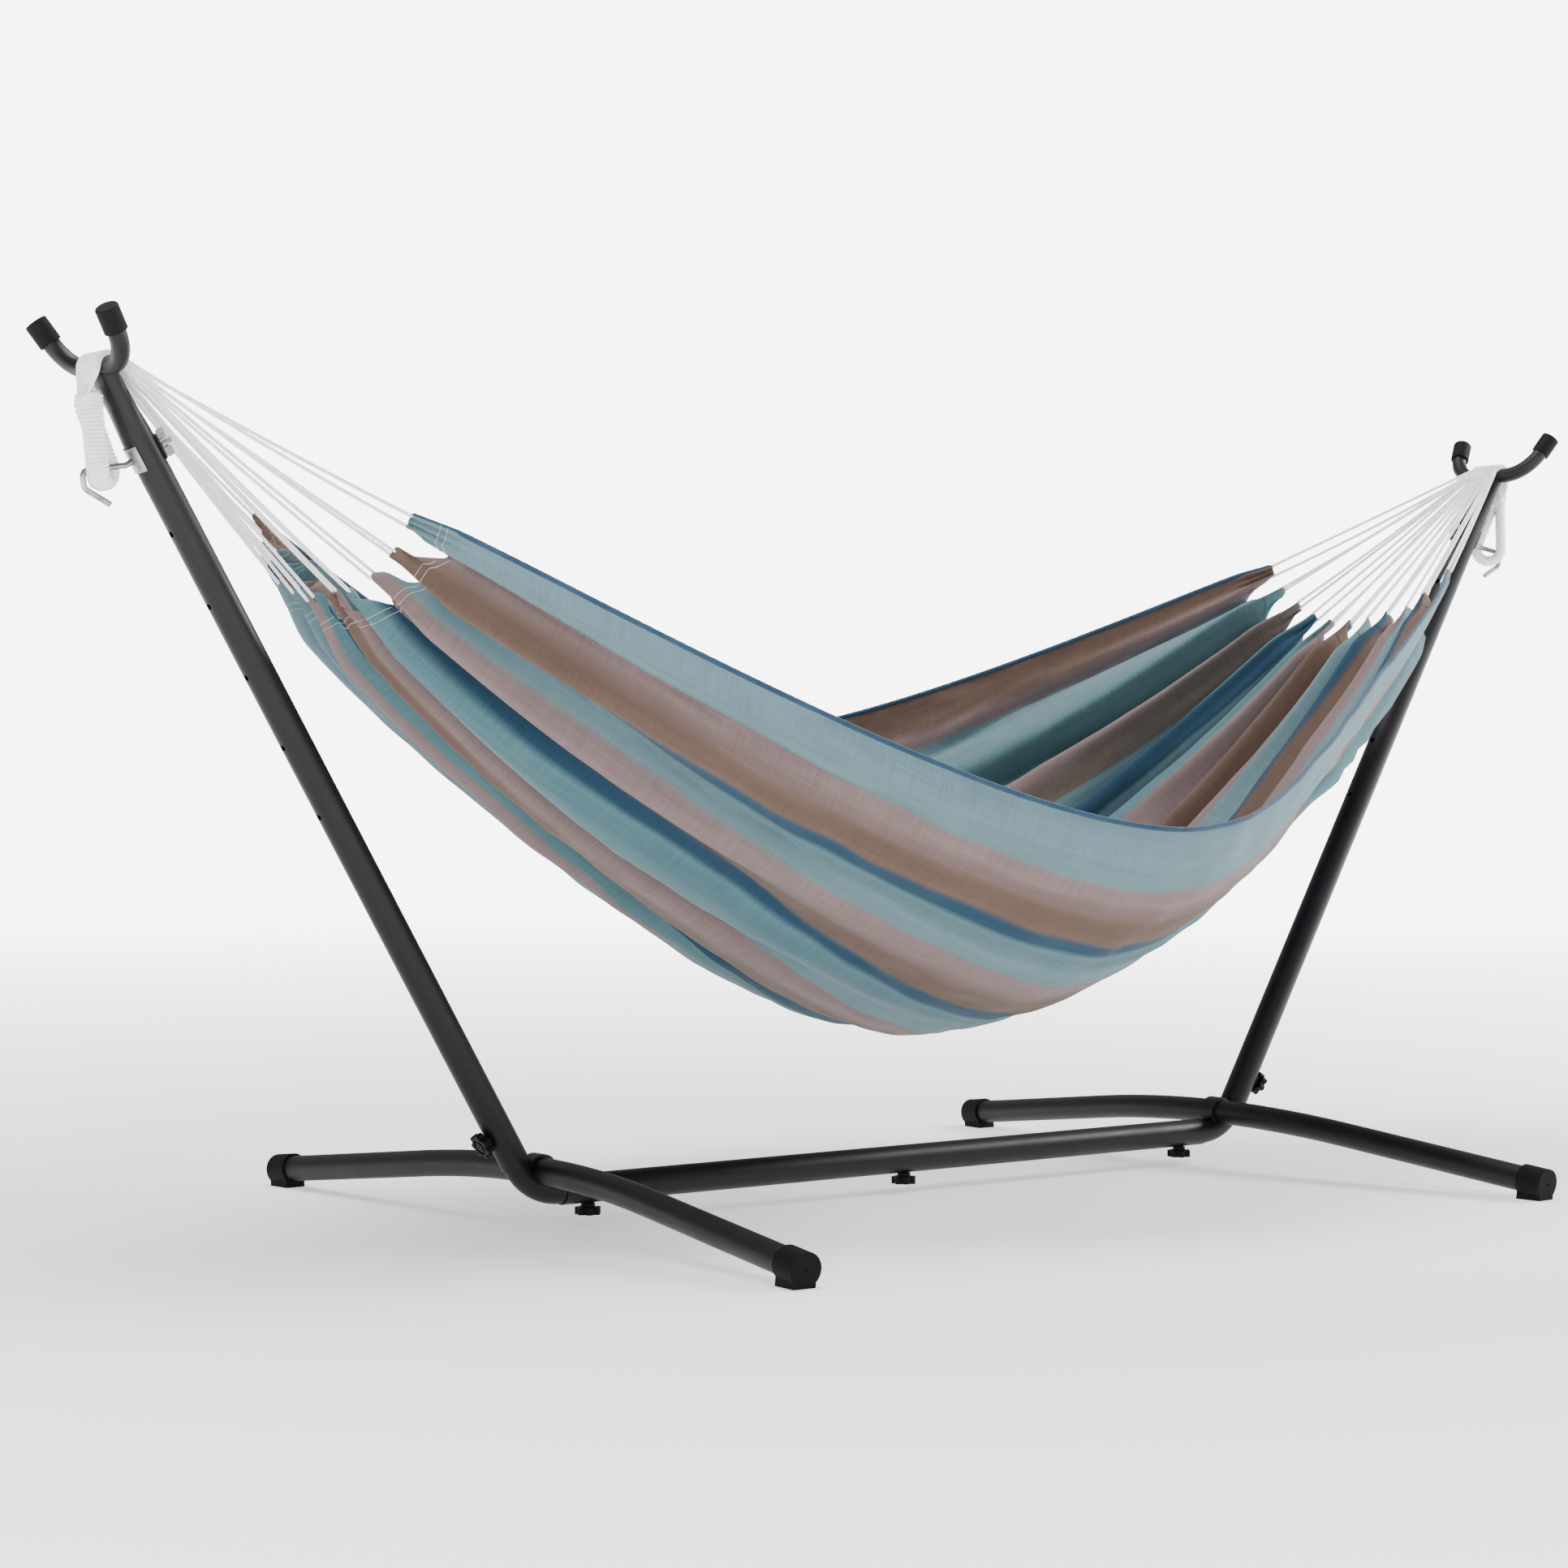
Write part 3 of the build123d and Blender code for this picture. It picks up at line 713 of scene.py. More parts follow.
# ---------------------------------------------------------------- the cloth
@dataclass
class Bed:
    """The striped cloth: an open trough, gathered into tabs at both ends."""

    finish: bpy.types.Material
    piping: bpy.types.Material
    light_thread: bpy.types.Material
    dark_thread: bpy.types.Material
    flat_width: float = 1.38
    flat_length: float = 2.10
    half_length: float = 0.902
    mid_half_width: float = 0.542
    mid_edge_z: float = 0.508
    mid_keel_z: float = 0.223
    taper: float = 0.436
    taper_ease: float = 0.195
    taper_back: float = 0.025
    corner_tuck: float = 0.028
    corner_power: int = 14
    edge_rise: float = 0.522
    edge_ease: float = 0.342
    keel_rise: float = 0.584
    keel_ease: float = 0.174
    keel_lift: float = 0.082
    rear_lift: float = 0.020
    rear_bow: float = 0.100
    roundness: float = 1.3
    thickness: float = 0.0013
    tabs: int = 11
    left_tabs: tuple[float, ...] = (
        0.0, 0.078, 0.182, 0.312, 0.420, 0.512, 0.602, 0.690, 0.780, 0.864, 0.932, 1.0,
    )
    right_tabs: tuple[float, ...] = (
        0.0, 0.091, 0.182, 0.273, 0.364, 0.455, 0.545, 0.636, 0.722, 0.812, 0.918, 1.0,
    )
    columns_per_tab: int = 22
    rows: int = 188
    scallop: float = 0.042
    corner_drawn: float = 0.25
    tab_drawn: float = 0.66
    middle_arc: float = 1.345
    arc_drop: float = 0.685
    arc_ease: float = 0.1
    pleat_least: float = 0.30
    pleat_gain: float = 0.85
    pleat_wander: float = 0.16
    ridge_power: float = 0.85
    tip_pleat: float = 0.34
    second_pleat: float = 0.20
    crumple: float = 0.0046
    soft_bulge: float = 0.0070
    drag_ridge: float = 0.0085
    fine_wrinkle: float = 0.0030
    left_stitching: tuple[float, ...] = (0.038, 0.047)
    right_stitching: tuple[float, ...] = (0.040,)
    thread: Twist = Twist(0.00035, 0.00035, 0.0001, 2, 0.003)
    tab_heights: tuple[float, ...] = (0.8, 1.15, 0.9, 1.1, 0.95, 1.2, 0.85, 1.1, 1.0, 1.15, 0.8)
    table: np.ndarray = field(default_factory=lambda: np.zeros(0))

    def half_width(self, t: np.ndarray) -> np.ndarray:
        """Half the width of the trough.

        Args:
            t: The share of the half length, from the middle.

        Returns:
            Metres from the middle line to the rim.
        """
        drawn = self.taper * self.softened(t, self.taper_ease) - self.taper_back * t ** 4
        return self.mid_half_width - drawn - self.corner_tuck * t ** self.corner_power

    def edge_z(self, t: np.ndarray, rear: np.ndarray) -> np.ndarray:
        """Height of the rim.

        Args:
            t: The share of the half length, from the middle.
            rear: 0 at the front edge and 1 at the rear one.

        Returns:
            Metres above the floor.
        """
        low = self.mid_edge_z + self.edge_rise * self.softened(t, self.edge_ease)
        return low + rear * (self.rear_lift + self.rear_bow * (1.0 - np.minimum(t, 1.0)))

    def keel_z(self, t: np.ndarray) -> np.ndarray:
        """Height of the trough's lowest line."""
        return self.mid_keel_z + self.keel_rise * self.softened(t, self.keel_ease) + self.keel_lift * t ** 4

    @staticmethod
    def softened(t: np.ndarray, corner: float) -> np.ndarray:
        """Rises like t but leaves zero smoothly."""
        return np.sqrt(t * t + corner * corner) - corner

    def section(self, x: np.ndarray, angle: np.ndarray) -> np.ndarray:
        """Points of the trough.

        Args:
            x: Where along the hammock.
            angle: 0 at the front rim, half a turn at the rear rim.

        Returns:
            Points, with the last axis of length 3.
        """
        t = np.abs(x) / self.half_length
        level = 0.5 - 0.5 * np.cos(angle)
        rim = self.edge_z(t, level)
        drop = (rim - self.keel_z(t)) * np.clip(np.sin(angle), 0.0, 1.0) ** self.roundness
        return np.stack([x, -self.half_width(t) * np.cos(angle), rim - drop], axis=-1)

    def prepare(self) -> None:
        """Tabulates the section's angle by station and share of its own length."""
        stations = np.linspace(0.0, self.half_length * 1.02, 120)
        angles = np.linspace(0.0, math.pi, 721)
        shares = np.linspace(0.0, 1.0, 401)
        rows = []
        for x in stations:
            line = self.section(np.full_like(angles, x), angles)
            runs = np.concatenate([[0.0], np.cumsum(np.linalg.norm(np.diff(line, axis=0), axis=1))])
            rows.append(np.interp(shares * runs[-1], runs, angles))
        self.table = np.array(rows)

    def on_trough(self, x: np.ndarray, share: np.ndarray) -> np.ndarray:
        """Points of the smooth trough.

        Args:
            x: Where along the hammock.
            share: The share of the section's length, from the front rim.

        Returns:
            Points, with the last axis of length 3.
        """
        stations, shares = self.table.shape
        row = np.clip(np.abs(x) / (self.half_length * 1.02) * (stations - 1), 0, stations - 1.001)
        column = np.clip(share * (shares - 1), 0, shares - 1.001)
        i, j = row.astype(int), column.astype(int)
        a, b = row - i, column - j
        low = self.table[i, j] * (1 - b) + self.table[i, j + 1] * b
        high = self.table[i + 1, j] * (1 - b) + self.table[i + 1, j + 1] * b
        return self.section(x, low * (1 - a) + high * a)

    def tab_ends(self, end: End) -> tuple[float, ...]:
        """Shares of the width where one end's tabs begin and stop."""
        return self.left_tabs if end is End.LEFT else self.right_tabs

    def tab_place(self, share: np.ndarray, x: np.ndarray) -> np.ndarray:
        """The place across the cloth counted in tabs, eased from one end's tabs to the other's.

        Args:
            share: The share of the cloth's width.
            x: Where along the hammock.

        Returns:
            Values from 0 to the number of tabs.
        """
        count = np.arange(self.tabs + 1)
        by_left = np.interp(share, self.left_tabs, count)
        by_right = np.interp(share, self.right_tabs, count)
        right = ramp01(x, -0.5, 0.5)
        left = 1.0 - right
        return left * by_left + right * by_right

    def scallop_depth(self, share: np.ndarray, x: np.ndarray) -> np.ndarray:
        """How far the cloth's end is cut back.

        Args:
            share: The share of the cloth's width.
            x: Where along the hammock.

        Returns:
            Metres from the line of the tips.
        """
        place = self.tab_place(share, x)
        off = np.abs(2.0 * (place - np.floor(np.clip(place, 0.0, self.tabs - 1e-5))) - 1.0)
        first = (place < 0.5) | (place > self.tabs - 0.5)
        off = np.where(first, 0.0, off)
        return self.scallop * ramp01(off, 0.30, 1.0) ** 0.8

    def gathered_share(self, share: np.ndarray, x: np.ndarray, from_tip: np.ndarray) -> np.ndarray:
        """The share of the section's length once each tab is drawn together at its tip.

        Args:
            share: The share of the cloth's width.
            x: Where along the hammock.
            from_tip: Metres from the line of the tips.

        Returns:
            The moved shares.
        """
        place = self.tab_place(share, x)
        number = np.clip(np.floor(place), 0, self.tabs - 1)
        corner = (number == 0) | (number == self.tabs - 1)
        closing = 1.0 - ramp01(from_tip, -0.004, self.scallop + 0.010)
        drawn = 1.0 - np.where(corner, self.corner_drawn, self.tab_drawn) * closing
        moved = number + 0.5 + drawn * (place - number - 0.5)
        count = np.arange(self.tabs + 1)
        by_left = np.interp(moved, count, self.left_tabs)
        by_right = np.interp(moved, count, self.right_tabs)
        gathered = np.where(x < 0.0, by_left, by_right)
        return np.where(np.abs(drawn - 1.0) < 1e-6, share, gathered)

    def pleats(self, x: np.ndarray, share: np.ndarray, from_tip: np.ndarray) -> np.ndarray:
        """Displacement outward that takes up the width gathered into the ends.

        Args:
            x: Where along the hammock.
            share: The share of the cloth's width.
            from_tip: Metres from the line of the tips.

        Returns:
            Metres outward from the smooth trough.
        """
        t = np.clip(np.abs(x) / self.half_length, 0.0, 1.0)
        arc = self.middle_arc * (1.0 - self.arc_drop * self.softened(t, self.arc_ease))
        gather = np.maximum(self.flat_width / arc, 1.0)
        slope = np.sqrt(2.0 * (gather ** 2 - 1.0))
        height = slope * arc / (2.0 * math.pi * self.tabs)
        strength = self.pleat_least + self.pleat_gain * ramp01(t, 0.10, 0.65)
        within = self.tab_place(share, x)
        number = np.clip(np.floor(within), 0, self.tabs - 1).astype(int)
        uneven = np.interp(within, np.arange(self.tabs) + 0.5, self.tab_heights)
        drift = np.sin(5.1 * share * 7.0 + 4.0 * x)
        wander = self.pleat_wander * drift * (1.0 - ramp01(t, 0.55, 0.95))
        phase = 2.0 * math.pi * (within + wander)
        sign = np.where(x < 0.0, 1.0, -1.0)
        sharpened = 2.0 * np.abs(np.sin(0.5 * phase)) ** self.ridge_power - 1.0
        front = np.where(x > 0.0, ramp01(share, 0.070, 0.200), ramp01(share, 0.030, 0.110))
        rim = front * ramp01(1.0 - share, 0.030, 0.100)
        tip = self.tip_pleat + (1.0 - self.tip_pleat) * ramp01(from_tip, 0.0, 0.075)
        main = sign * height * strength * uneven * sharpened * rim * tip
        halves = np.sin(2.0 * phase + 1.3 * number)
        second = self.second_pleat * height * strength * halves * rim * ramp01(t, 0.35, 0.9)
        quarters = np.sin(4.0 * phase + 2.1 * number)
        crumple = self.crumple * quarters * (1.0 - ramp01(from_tip, 0.008, 0.070))
        return main + second + crumple

    @staticmethod
    def clouds(first: np.ndarray, second: np.ndarray, layer: float) -> np.ndarray:
        """Smooth unevenness over a grid.

        Args:
            first: First coordinate of each grid point.
            second: Second coordinate of each grid point.
            layer: Picks one pattern from another.

        Returns:
            Values from -1 to 1.
        """
        places = zip(first.ravel(), second.ravel())
        return np.array([noise.noise(Vector((u, v, layer))) for u, v in places]).reshape(first.shape)

    def wrinkles(self, x: np.ndarray, share: np.ndarray) -> np.ndarray:
        """Small tension wrinkles and soft unevenness.

        Args:
            x: Where along the hammock.
            share: The share of the cloth's width.

        Returns:
            Metres outward from the smooth trough.
        """
        across = share * self.flat_width
        soft = self.clouds(2.6 * x, 9.0 * across, 0.3)
        drag = self.clouds(7.0 * x + 5.0 * across, 16.0 * across - 6.0 * x, 4.1)
        fine = self.clouds(16.0 * x - 20.0 * across, 26.0 * across + 9.0 * x, 9.7)
        ridged = 0.5 - np.abs(drag)
        middle = 1.0 - ramp01(np.abs(x), 0.45, 0.88)
        rim = 1.0 - ramp01(share, 0.10, 0.24)
        pull = self.drag_ridge * ridged * middle * (0.40 + 0.60 * rim)
        return self.soft_bulge * soft + pull + self.fine_wrinkle * fine * middle

    def grid(self) -> tuple[np.ndarray, np.ndarray, np.ndarray]:
        """Points of the cloth's middle surface.

        Returns:
            Points, metres along the cloth, and share of its width, on the same grid.
        """
        columns = self.tabs * self.columns_per_tab + 1
        share = np.linspace(0.0, 1.0, columns)
        spacing = np.sin(0.5 * math.pi * np.linspace(-1.0, 1.0, self.rows))
        station = 0.35 * spacing + 0.65 * np.linspace(-1.0, 1.0, self.rows)
        x, share = np.meshgrid(station * self.half_length, share, indexing="ij")
        follow = ramp01(np.abs(x), self.half_length - 0.14, self.half_length)
        cut = self.scallop_depth(share, x)
        x = np.sign(x) * (np.abs(x) - cut * follow)
        from_tip = self.half_length - np.abs(x)
        placed = self.gathered_share(share, x, from_tip)
        trough = self.on_trough(x, placed)
        normal = np.cross(np.gradient(trough, axis=0), np.gradient(trough, axis=1))
        normal /= np.linalg.norm(normal, axis=-1)[..., None]
        outward = normal * np.sign(normal[self.rows // 2, columns // 2, 2]) * -1.0
        lift = self.pleats(x, share, from_tip) + self.wrinkles(x, share)
        points = trough + outward * lift[..., None]
        runs = np.linalg.norm(np.diff(trough, axis=0), axis=-1)
        along = np.concatenate([np.zeros((1, columns)), np.cumsum(runs, axis=0)])
        along -= along[self.rows // 2][None, :]
        return points, along, share

    def cloth(self, points: np.ndarray, along: np.ndarray, share: np.ndarray) -> bpy.types.Object:
        """Makes the cloth as one thin closed shell with its chart.

        Args:
            points: The grid of the middle surface.
            along: Metres along the cloth at each grid point.
            share: The share of its width at each grid point.

        Returns:
            The cloth.
        """
        rows, columns = share.shape
        normal = np.cross(np.gradient(points, axis=0), np.gradient(points, axis=1))
        normal /= np.linalg.norm(normal, axis=-1)[..., None]
        count = rows * columns
        both = np.concatenate([
            (points + 0.5 * self.thickness * normal).reshape(-1, 3),
            (points - 0.5 * self.thickness * normal).reshape(-1, 3),
        ])
        number = np.arange(count).reshape(rows, columns)
        a, b, c, d = number[:-1, :-1], number[1:, :-1], number[1:, 1:], number[:-1, 1:]
        top = np.stack([a, b, c, d], axis=-1).reshape(-1, 4)
        under = np.stack([d, c, b, a], axis=-1).reshape(-1, 4) + count
        rim = list(number[:, 0]) + list(number[-1, 1:]) + list(number[-2::-1, -1]) + list(number[0, -2:0:-1])
        walls = [
            (rim[k], rim[k] + count, rim[(k + 1) % len(rim)] + count, rim[(k + 1) % len(rim)])
            for k in range(len(rim))
        ]
        faces = top.tolist() + under.tolist() + [[int(corner) for corner in wall] for wall in walls]
        piece = mesh_piece("striped_cloth_bed", both, faces, self.finish)
        chart = piece.data.uv_layers.new(name="cloth")
        corners = np.zeros(len(piece.data.loops), int)
        piece.data.loops.foreach_get("vertex_index", corners)
        values = np.stack([along.reshape(-1), share.reshape(-1)], axis=-1)
        values = np.concatenate([values, values])[corners]
        chart.data.foreach_set("uv", values.reshape(-1).astype(np.float32))
        return piece

    def hem(self, points: np.ndarray, edge: Edge) -> bpy.types.Object:
        """The piped cord rolled into one long edge.

        Args:
            points: The cloth's grid of points.
            edge: Which long edge.

        Returns:
            The piping.
        """
        column = 0 if edge is Edge.FRONT else -1
        inner = 3 if edge is Edge.FRONT else -4
        line = points[:, column, :].copy()
        inward = points[:, inner, :] - line
        inward /= np.linalg.norm(inward, axis=1)[:, None]
        line += 0.0012 * inward
        line = resample(line, 0.004)
        rope = Twist(0.0034, 0.0028, 0.0003, 2, 0.011, taper=0.004)
        points, faces = tube(line, Vector((0, 0, 1)), rope, 12)
        name = f"piping_{edge.name.lower()}"
        return mesh_piece(name, points, faces, self.piping)

    def seam(self, points: np.ndarray, share: np.ndarray, end: End, inset: float) -> list[np.ndarray]:
        """Lines that cross each tab at one distance from its tip, on both faces.

        Args:
            points: The cloth's grid of points.
            share: The grid's shares of the width.
            end: Which end of the cloth.
            inset: The distance from the tips.

        Returns:
            One polyline per tab and face.
        """
        rows = points[:60] if end is End.LEFT else points[-60:][::-1]
        at_end = np.full_like(share[0], end.value * self.half_length)
        depth = self.scallop_depth(share[0], at_end)
        place = np.clip(np.floor(self.tab_place(share[0], at_end)), 0, self.tabs - 1)
        offset = 0.5 * self.thickness + 0.0003
        lines: list[np.ndarray] = []
        for tab in range(self.tabs):
            columns = np.where((place == tab) & (depth < inset - 0.006))[0]
            line, normals = [], []
            for column in columns:
                strip = rows[:, column]
                runs = np.concatenate([[0.0], np.cumsum(np.linalg.norm(np.diff(strip, axis=0), axis=1))])
                need = inset - float(depth[column])
                line.append([np.interp(need, runs, strip[:, axis]) for axis in range(3)])
                normals.append(strip[8] - strip[0])
            middle = np.array(line)
            normal = np.cross(np.gradient(middle, axis=0), np.array(normals))
            normal /= np.linalg.norm(normal, axis=1)[:, None]
            lines.extend([middle + normal * offset, middle - normal * offset])
        return lines

    def build(self) -> tuple[bpy.types.Object, np.ndarray, np.ndarray]:
        """Makes the cloth, its hems and its seams, and hangs them on the hammock's body.

        Returns:
            The cloth, its grid of points and the shares of its columns.
        """
        self.prepare()
        points, along, share = self.grid()
        cloth = self.cloth(points, along, share)
        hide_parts("hammock_bed")
        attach(cloth, HAMMOCK)
        for edge in Edge:
            hem = self.hem(points, edge)
            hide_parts(f"edge_cord_{edge.name.lower()}")
            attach(hem, HAMMOCK)
        for end in End:
            stitches = MeshBin()
            insets = self.left_stitching if end is End.LEFT else self.right_stitching
            for inset in insets:
                for line in self.seam(points, share, end, inset):
                    stitches.add(*tube(resample(line, 0.0022), Vector((1, 0, 0)), self.thread, 5))
            thread = self.light_thread if end is End.LEFT else self.dark_thread
            seam = stitches.piece(f"tab_stitching_{end.word}", thread, "striped_cloth")
            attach(seam, HAMMOCK)
        return cloth, points, share


# ---------------------------------------------------------------- rope work
@dataclass
class RopeEnd:
    """The cords of one end, the bundle over the fork and the whipped eye on the hook."""

    end: End
    finish: bpy.types.Material
    bed: Bed
    fork: tuple[float, float] = (1.2084, 1.0414)
    fork_radius: float = 0.011
    hook_bend: tuple[float, float] = (1.1755, 0.9301)
    cord_radius: float = 0.0021
    strands: int = 22
    spread: float = 0.0046
    layer_step: float = 0.0036
    leave_slope: float = 32.7
    wrap_end: float = -18.0
    start_x: float = 1.193
    neck_below: float = 0.028
    neck_radius: float = 0.0125
    eye_offset: tuple[float, float] = (0.014, 0.0135)
    eye_middle: tuple[float, float] = (0.029, -0.0035)
    leg_half: tuple[float, float] = (0.0132, 0.0074)

    def around(self, degrees: float, radius: float) -> Vector:
        """A point round the fork's saddle, on the right end.

        Args:
            degrees: The angle from straight outward, positive upward.
            radius: Metres from the saddle's middle.

        Returns:
            The point.
        """
        angle = math.radians(degrees)
        return Vector((self.fork[0] + math.cos(angle) * radius, 0.0, self.fork[1] + math.sin(angle) * radius))

    def place(self, index: int) -> tuple[float, float]:
        """Where one strand lies in the bundle.

        Args:
            index: The strand's number.

        Returns:
            Its sideways place and its radius round the fork.
        """
        column, layer = divmod(index, 2)
        across = (column - (self.strands / 2 - 1) / 2) * self.spread + (layer - 0.5) * 0.0012
        return across, self.fork_radius + 0.0023 + layer * self.layer_step

    def saddle_start(self, index: int) -> Vector:
        """Where one cord leaves the bundle, on the right end.

        Args:
            index: The cord's number.

        Returns:
            The point.
        """
        across, radius = self.place(index)
        slope = math.radians(90.0 + self.leave_slope)
        leave = self.around(90.0 + self.leave_slope, radius)
        forward = Vector((-math.sin(slope), 0.0, math.cos(slope)))
        point = leave + forward * ((leave.x - self.start_x) / math.sin(slope))
        return Vector((point.x, across, point.z))

    def cords(self, points: np.ndarray, share: np.ndarray) -> bpy.types.Object:
        """The cords from the saddle to the tips of the tabs, two to a tab.

        Args:
            points: The cloth's grid of points.
            share: The grid's shares of the width.

        Returns:
            The cords as one piece.
        """
        tips = points[0] if self.end is End.LEFT else points[-1]
        next_row = points[4] if self.end is End.LEFT else points[-5]
        wanted = []
        for tab in range(self.bed.tabs):
            pair = (0.42, 0.58)
            if tab == 0:
                pair = (0.03, 0.70)
            if tab == self.bed.tabs - 1:
                pair = (0.30, 0.97)
            low, high = self.bed.tab_ends(self.end)[tab:tab + 2]
            wanted.extend(low + part * (high - low) for part in pair)
        fan = MeshBin()
        laid = Twist(self.cord_radius, self.cord_radius, 0.0005, 3, 0.0125, 0.002)
        for index, where in enumerate(wanted):
            column = int(round(where * (share.shape[1] - 1)))
            tip = tips[column]
            inside = tip + 0.12 * (next_row[column] - tip)
            start = self.saddle_start(index)
            start = np.array([self.end.value * start.x, start.y, start.z])
            path = resample(np.array([start, inside]), 0.0026)
            sag = np.linspace(0.0, 1.0, len(path))
            path[:, 2] -= 0.0022 * (1.0 + 0.7 * math.sin(2.3 * index)) * np.sin(math.pi * sag)
            path[:, 1] += 0.0012 * math.sin(3.1 * index) * np.sin(math.pi * sag)
            fan.add(*tube(path, Vector((0, 0, 1)), laid, 9))
        piece = fan.piece(f"cotton_cords_{self.end.word}", self.finish, "white_rope")
        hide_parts(f"cords_{self.end.word}")
        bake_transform(piece)
        return piece

    def neck(self) -> tuple[Vector, Vector]:
        """Where the whipping starts, on the right end.

        Returns:
            The point and the way the bundle runs there.
        """
        slope = math.radians(self.wrap_end)
        down = Vector((math.sin(slope), 0.0, -math.cos(slope)))
        outward = Vector((math.cos(slope), 0.0, math.sin(slope)))
        middle = self.around(self.wrap_end, self.fork_radius + 0.004)
        return middle + down * self.neck_below + outward * 0.0095, down

    def bundle(self, shells: MeshBin) -> None:
        """Adds the strands over the fork, drawn together into the neck.

        Args:
            shells: Collects the rope work.
        """
        neck, down = self.neck()
        for index in range(self.strands):
            across, radius = self.place(index)
            start = self.saddle_start(index)
            path = [start]
            for degrees in np.linspace(90.0 + self.leave_slope, self.wrap_end, 16):
                point = self.around(float(degrees), radius)
                path.append(Vector((point.x, across, point.z)))
            ring = 2.0 * math.pi * (index + 0.5) / self.strands
            target = neck + Vector((0.55 * self.neck_radius * math.cos(ring), 0.0, 0.0))
            target.y = 0.42 * across
            path.append(target)
            path.append(target + down * 0.012)
            line = self.smooth(np.array(path), 0.003)
            shells.add(*tube(line, Vector((0, 1, 0)), Twist(0.00235, 0.0021, 0.0005, 3, 0.012, 0.002), 8))

    @staticmethod
    def smooth(path: np.ndarray, step: float) -> np.ndarray:
        """Evens a polyline's points and rounds its corners.

        Args:
            path: The polyline.
            step: The wanted spacing.

        Returns:
            The new polyline.
        """
        line = resample(path, step)
        for _ in range(6):
            line[1:-1] = 0.25 * line[:-2] + 0.5 * line[1:-1] + 0.25 * line[2:]
        return line

    def eye(self, shells: MeshBin) -> None:
        """Adds the whipped neck and the wrapped loop that hangs on the hook.

        Args:
            shells: Collects the rope work.
        """
        neck, down = self.neck()
        mid = Vector((self.hook_bend[0] + self.eye_middle[0], 0.0, self.hook_bend[1] + self.eye_middle[1]))
        dx, dy = self.eye_offset
        turn = math.hypot(dx, dy)
        path = [neck + Vector((0.0, -0.0068, 0.004)), neck + Vector((0.0, -0.0072, -0.012))]
        for degrees in np.linspace(0.0, 180.0, 19):
            angle = math.radians(float(degrees))
            sideways = math.cos(angle)
            path.append(mid + Vector((dx * sideways, -dy * sideways, -turn * math.sin(angle))))
        path.append(neck + Vector((0.0, 0.0072, -0.012)))
        path.append(neck + Vector((0.0, 0.0068, 0.004)))
        line = self.smooth(np.array(path), 0.0014)
        wound = Wrapping(*self.leg_half, 0.0024, 0.0047)
        shells.add(*tube(line, Vector((1, 0.9, 0)), wound, 20))
        collar = [neck - down * 0.006, neck, neck + down * 0.009, neck + down * 0.018]
        band = self.smooth(np.array(collar), 0.0011)
        shells.add(*tube(band, Vector((0, 1, 0)), Wrapping(0.0158, 0.0132, 0.0018, 0.0042), 28))

    def build(self, points: np.ndarray, share: np.ndarray) -> None:
        """Makes this end's rope work and puts its whipped eye on the stand's body.

        Args:
            points: The cloth's grid of points.
            share: The grid's shares of the width.
        """
        self.cords(points, share)
        shells = MeshBin()
        self.bundle(shells)
        self.eye(shells)
        loop = shells.piece(f"whipped_eye_{self.end.word}", self.finish, "white_rope")
        if self.end is End.LEFT:
            loop.data.transform(Matrix.Diagonal((-1.0, 1.0, 1.0, 1.0)))
            loop.data.flip_normals()
        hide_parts(f"end_loop_{self.end.word}")
        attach(loop, STAND)


# ---------------------------------------------------------------- the stand
@dataclass
class Stand:
    """The steel stand's own pieces, which keep their shape and get their finishes."""

    finishes: dict[str, bpy.types.Material]

    def dress(self) -> None:
        """Gives each shown piece the finish of its material slot."""
        slots = {part["node"]: part["material_slot"] for part in frame["record"]["subparts"]}
        for name, piece in frame["nodes"].items():
            finish = self.finishes.get(slots[name])
            if finish is None:
                continue
            piece.data.materials.clear()
            piece.data.materials.append(finish)


# ---------------------------------------------------------------- studio
@dataclass(frozen=True)
class Lamp:
    """A square soft light: its place, what it faces, its side and its power in watts."""

    name: str
    place: tuple[float, float, float]
    aim: tuple[float, float, float]
    size: float
    power: float

    def hang(self) -> None:
        """Puts the light in the scene."""
        data = bpy.data.lights.new(self.name, "AREA")
        data.energy, data.size = self.power, self.size
        lamp = bpy.data.objects.new(self.name, data)
        lamp.location = self.place
        way = Vector(self.aim) - Vector(self.place)
        lamp.rotation_euler = way.to_track_quat("-Z", "Y").to_euler()
        bpy.context.scene.collection.objects.link(lamp)


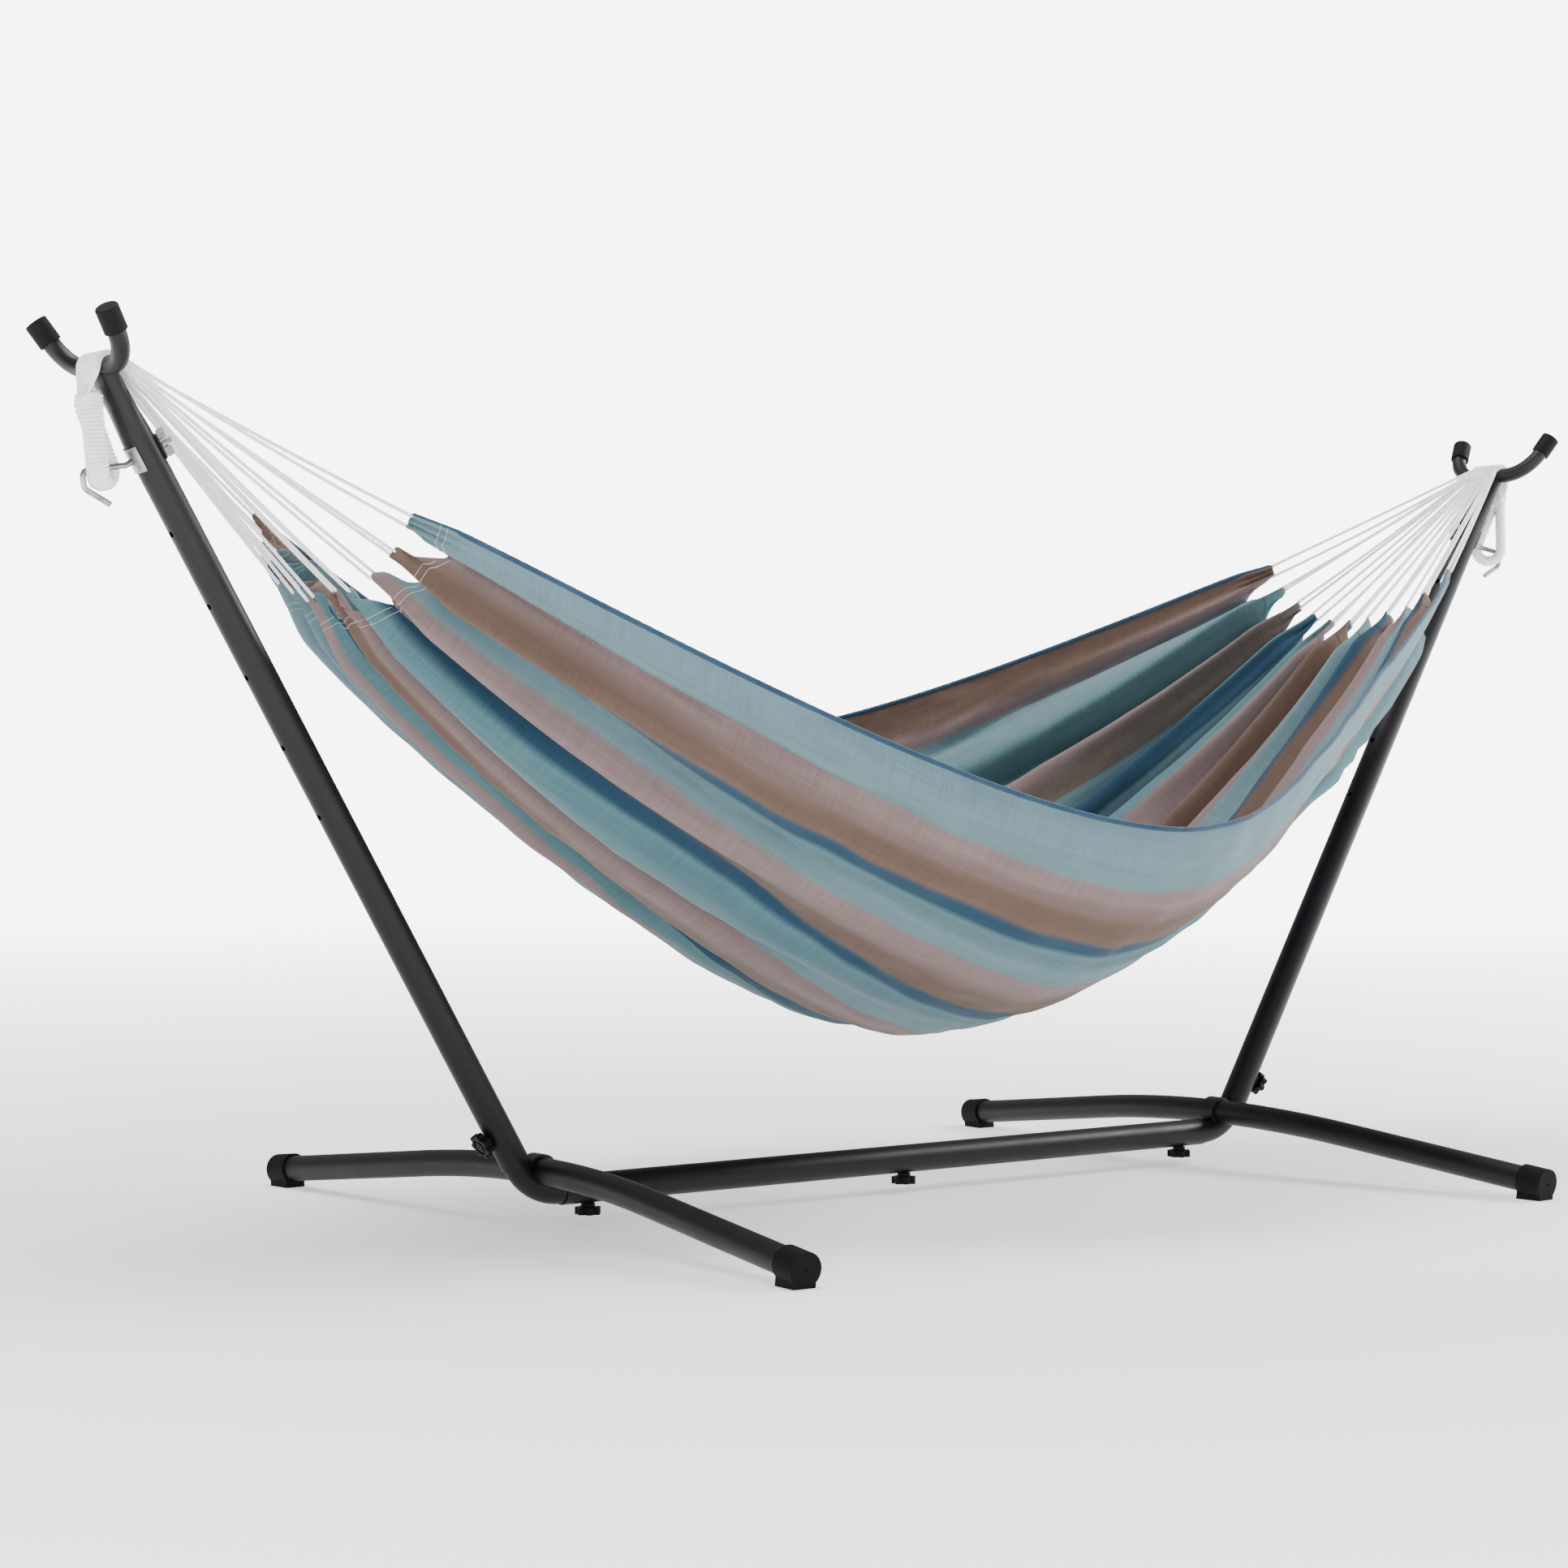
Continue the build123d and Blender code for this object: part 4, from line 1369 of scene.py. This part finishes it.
@dataclass(frozen=True)
class Studio:
    """Pale floor, soft lights and the camera."""

    eye: tuple[float, float, float] = (-3.0170, -3.5865, 0.5958)
    yaw: float = 0.6641
    pitch: float = -0.0080
    roll: float = -0.0024
    lens: float = 78.70
    air: float = 0.5
    backdrop: float = 7.0
    floor_near: float = 0.6
    glow_start: float = 1.2
    glow_end: float = 8.0
    floor_half: float = 40.0
    sensor: float = 36.0
    reach: float = 200.0
    lamps: tuple[Lamp, ...] = (
        Lamp("key", (4.2, -1.2, 2.6), (0.4, 0.0, 0.6), 1.4, 225.0),
        Lamp("fill", (-3.5, -4.0, 2.0), (0.0, 0.0, 0.5), 2.5, 50.0),
        Lamp("top", (-0.4, 0.2, 3.6), (0.0, 0.0, 0.5), 2.2, 148.0),
    )

    def floor(self) -> None:
        """A pale floor with a painted glow: it glows faintly near the stand and brighter far off, fading into
        the backdrop.
        """
        size = self.floor_half
        corners = np.array([(-size, -size, 0), (size, -size, 0), (size, size, 0), (-size, size, 0)], float)
        shader = Shader("studio_floor")
        shader.put(Base_Color=(0.93, 0.93, 0.93, 1.0), Roughness=0.9, Specular_IOR_Level=0.1)
        # Painted light: the floor's glow grows with distance from the middle and also lights the stand like a
        # lit backdrop.
        shader.put(Emission_Color=(1.0, 1.0, 1.0, 1.0))
        away = shader.node("VectorMath", {0: shader.place()}, operation="LENGTH").outputs["Value"]
        glow = shader.spread(away, self.glow_start, self.glow_end, self.floor_near, self.backdrop - self.air)
        shader.links.new(glow, shader.surface.inputs["Emission Strength"])
        ground = mesh_piece("studio_floor", corners, [(0, 1, 2, 3)], shader.material)

    def light(self) -> None:
        """Soft light from above and both sides, strongest from the right."""
        world = bpy.data.worlds.new("studio_air")
        world.use_nodes = True
        tree = world.node_tree
        air = tree.nodes["Background"]
        air.inputs[0].default_value = (1.0, 1.0, 1.0, 1.0)
        seen = tree.nodes.new("ShaderNodeLightPath")
        power = tree.nodes.new("ShaderNodeMapRange")
        power.inputs["To Min"].default_value = self.air
        power.inputs["To Max"].default_value = self.backdrop
        tree.links.new(seen.outputs["Is Camera Ray"], power.inputs["Value"])
        tree.links.new(power.outputs[0], air.inputs[1])
        bpy.context.scene.world = world
        for lamp in self.lamps:
            lamp.hang()

    def camera(self) -> None:
        """The camera at its viewing angle."""
        data = bpy.data.cameras.new("camera")
        data.lens, data.sensor_width = self.lens, self.sensor
        data.clip_end = self.reach
        camera = bpy.data.objects.new("camera", data)
        camera.location = self.eye
        camera.rotation_mode = "XYZ"
        camera.rotation_euler = (0.5 * math.pi + self.pitch, self.roll, -self.yaw)
        bpy.context.scene.collection.objects.link(camera)
        bpy.context.scene.camera = camera


def main() -> None:
    """Builds the looks piece by piece."""
    logging.basicConfig(level=logging.INFO, format="%(message)s")
    studio = Studio()
    studio.camera()
    studio.light()
    studio.floor()
    rope = CottonRope().make()
    rubber = Moulding("black_rubber", linear(9, 9, 10), linear(18, 17, 18), 0.7, 700.0, 0.0002)
    nylon = Moulding("moulded_nylon", linear(9, 9, 10), linear(18, 18, 19), 0.5, 1100.0, 0.0001)
    finishes = {
        "black_powder_coat": PowderCoat().make(),
        "black_rubber": rubber.make(),
        "moulded_nylon": nylon.make(),
        "zinc_plate": ZincPlate().make(),
    }
    Stand(finishes).dress()
    LOG.info("stand dressed")
    bed = Bed(
        StripedCloth().make(),
        Piping().make(),
        Thread("light_thread", linear(205, 205, 200)).make(),
        Thread("dark_thread", linear(60, 62, 66)).make(),
    )
    cloth, points, share = bed.build()
    LOG.info("%s: %d faces", cloth.name, len(cloth.data.polygons))
    for end in End:
        RopeEnd(end, rope, bed).build(points, share)
        LOG.info("rope work, %s end", end.word)
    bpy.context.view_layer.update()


if __name__ == "__main__":
    main()
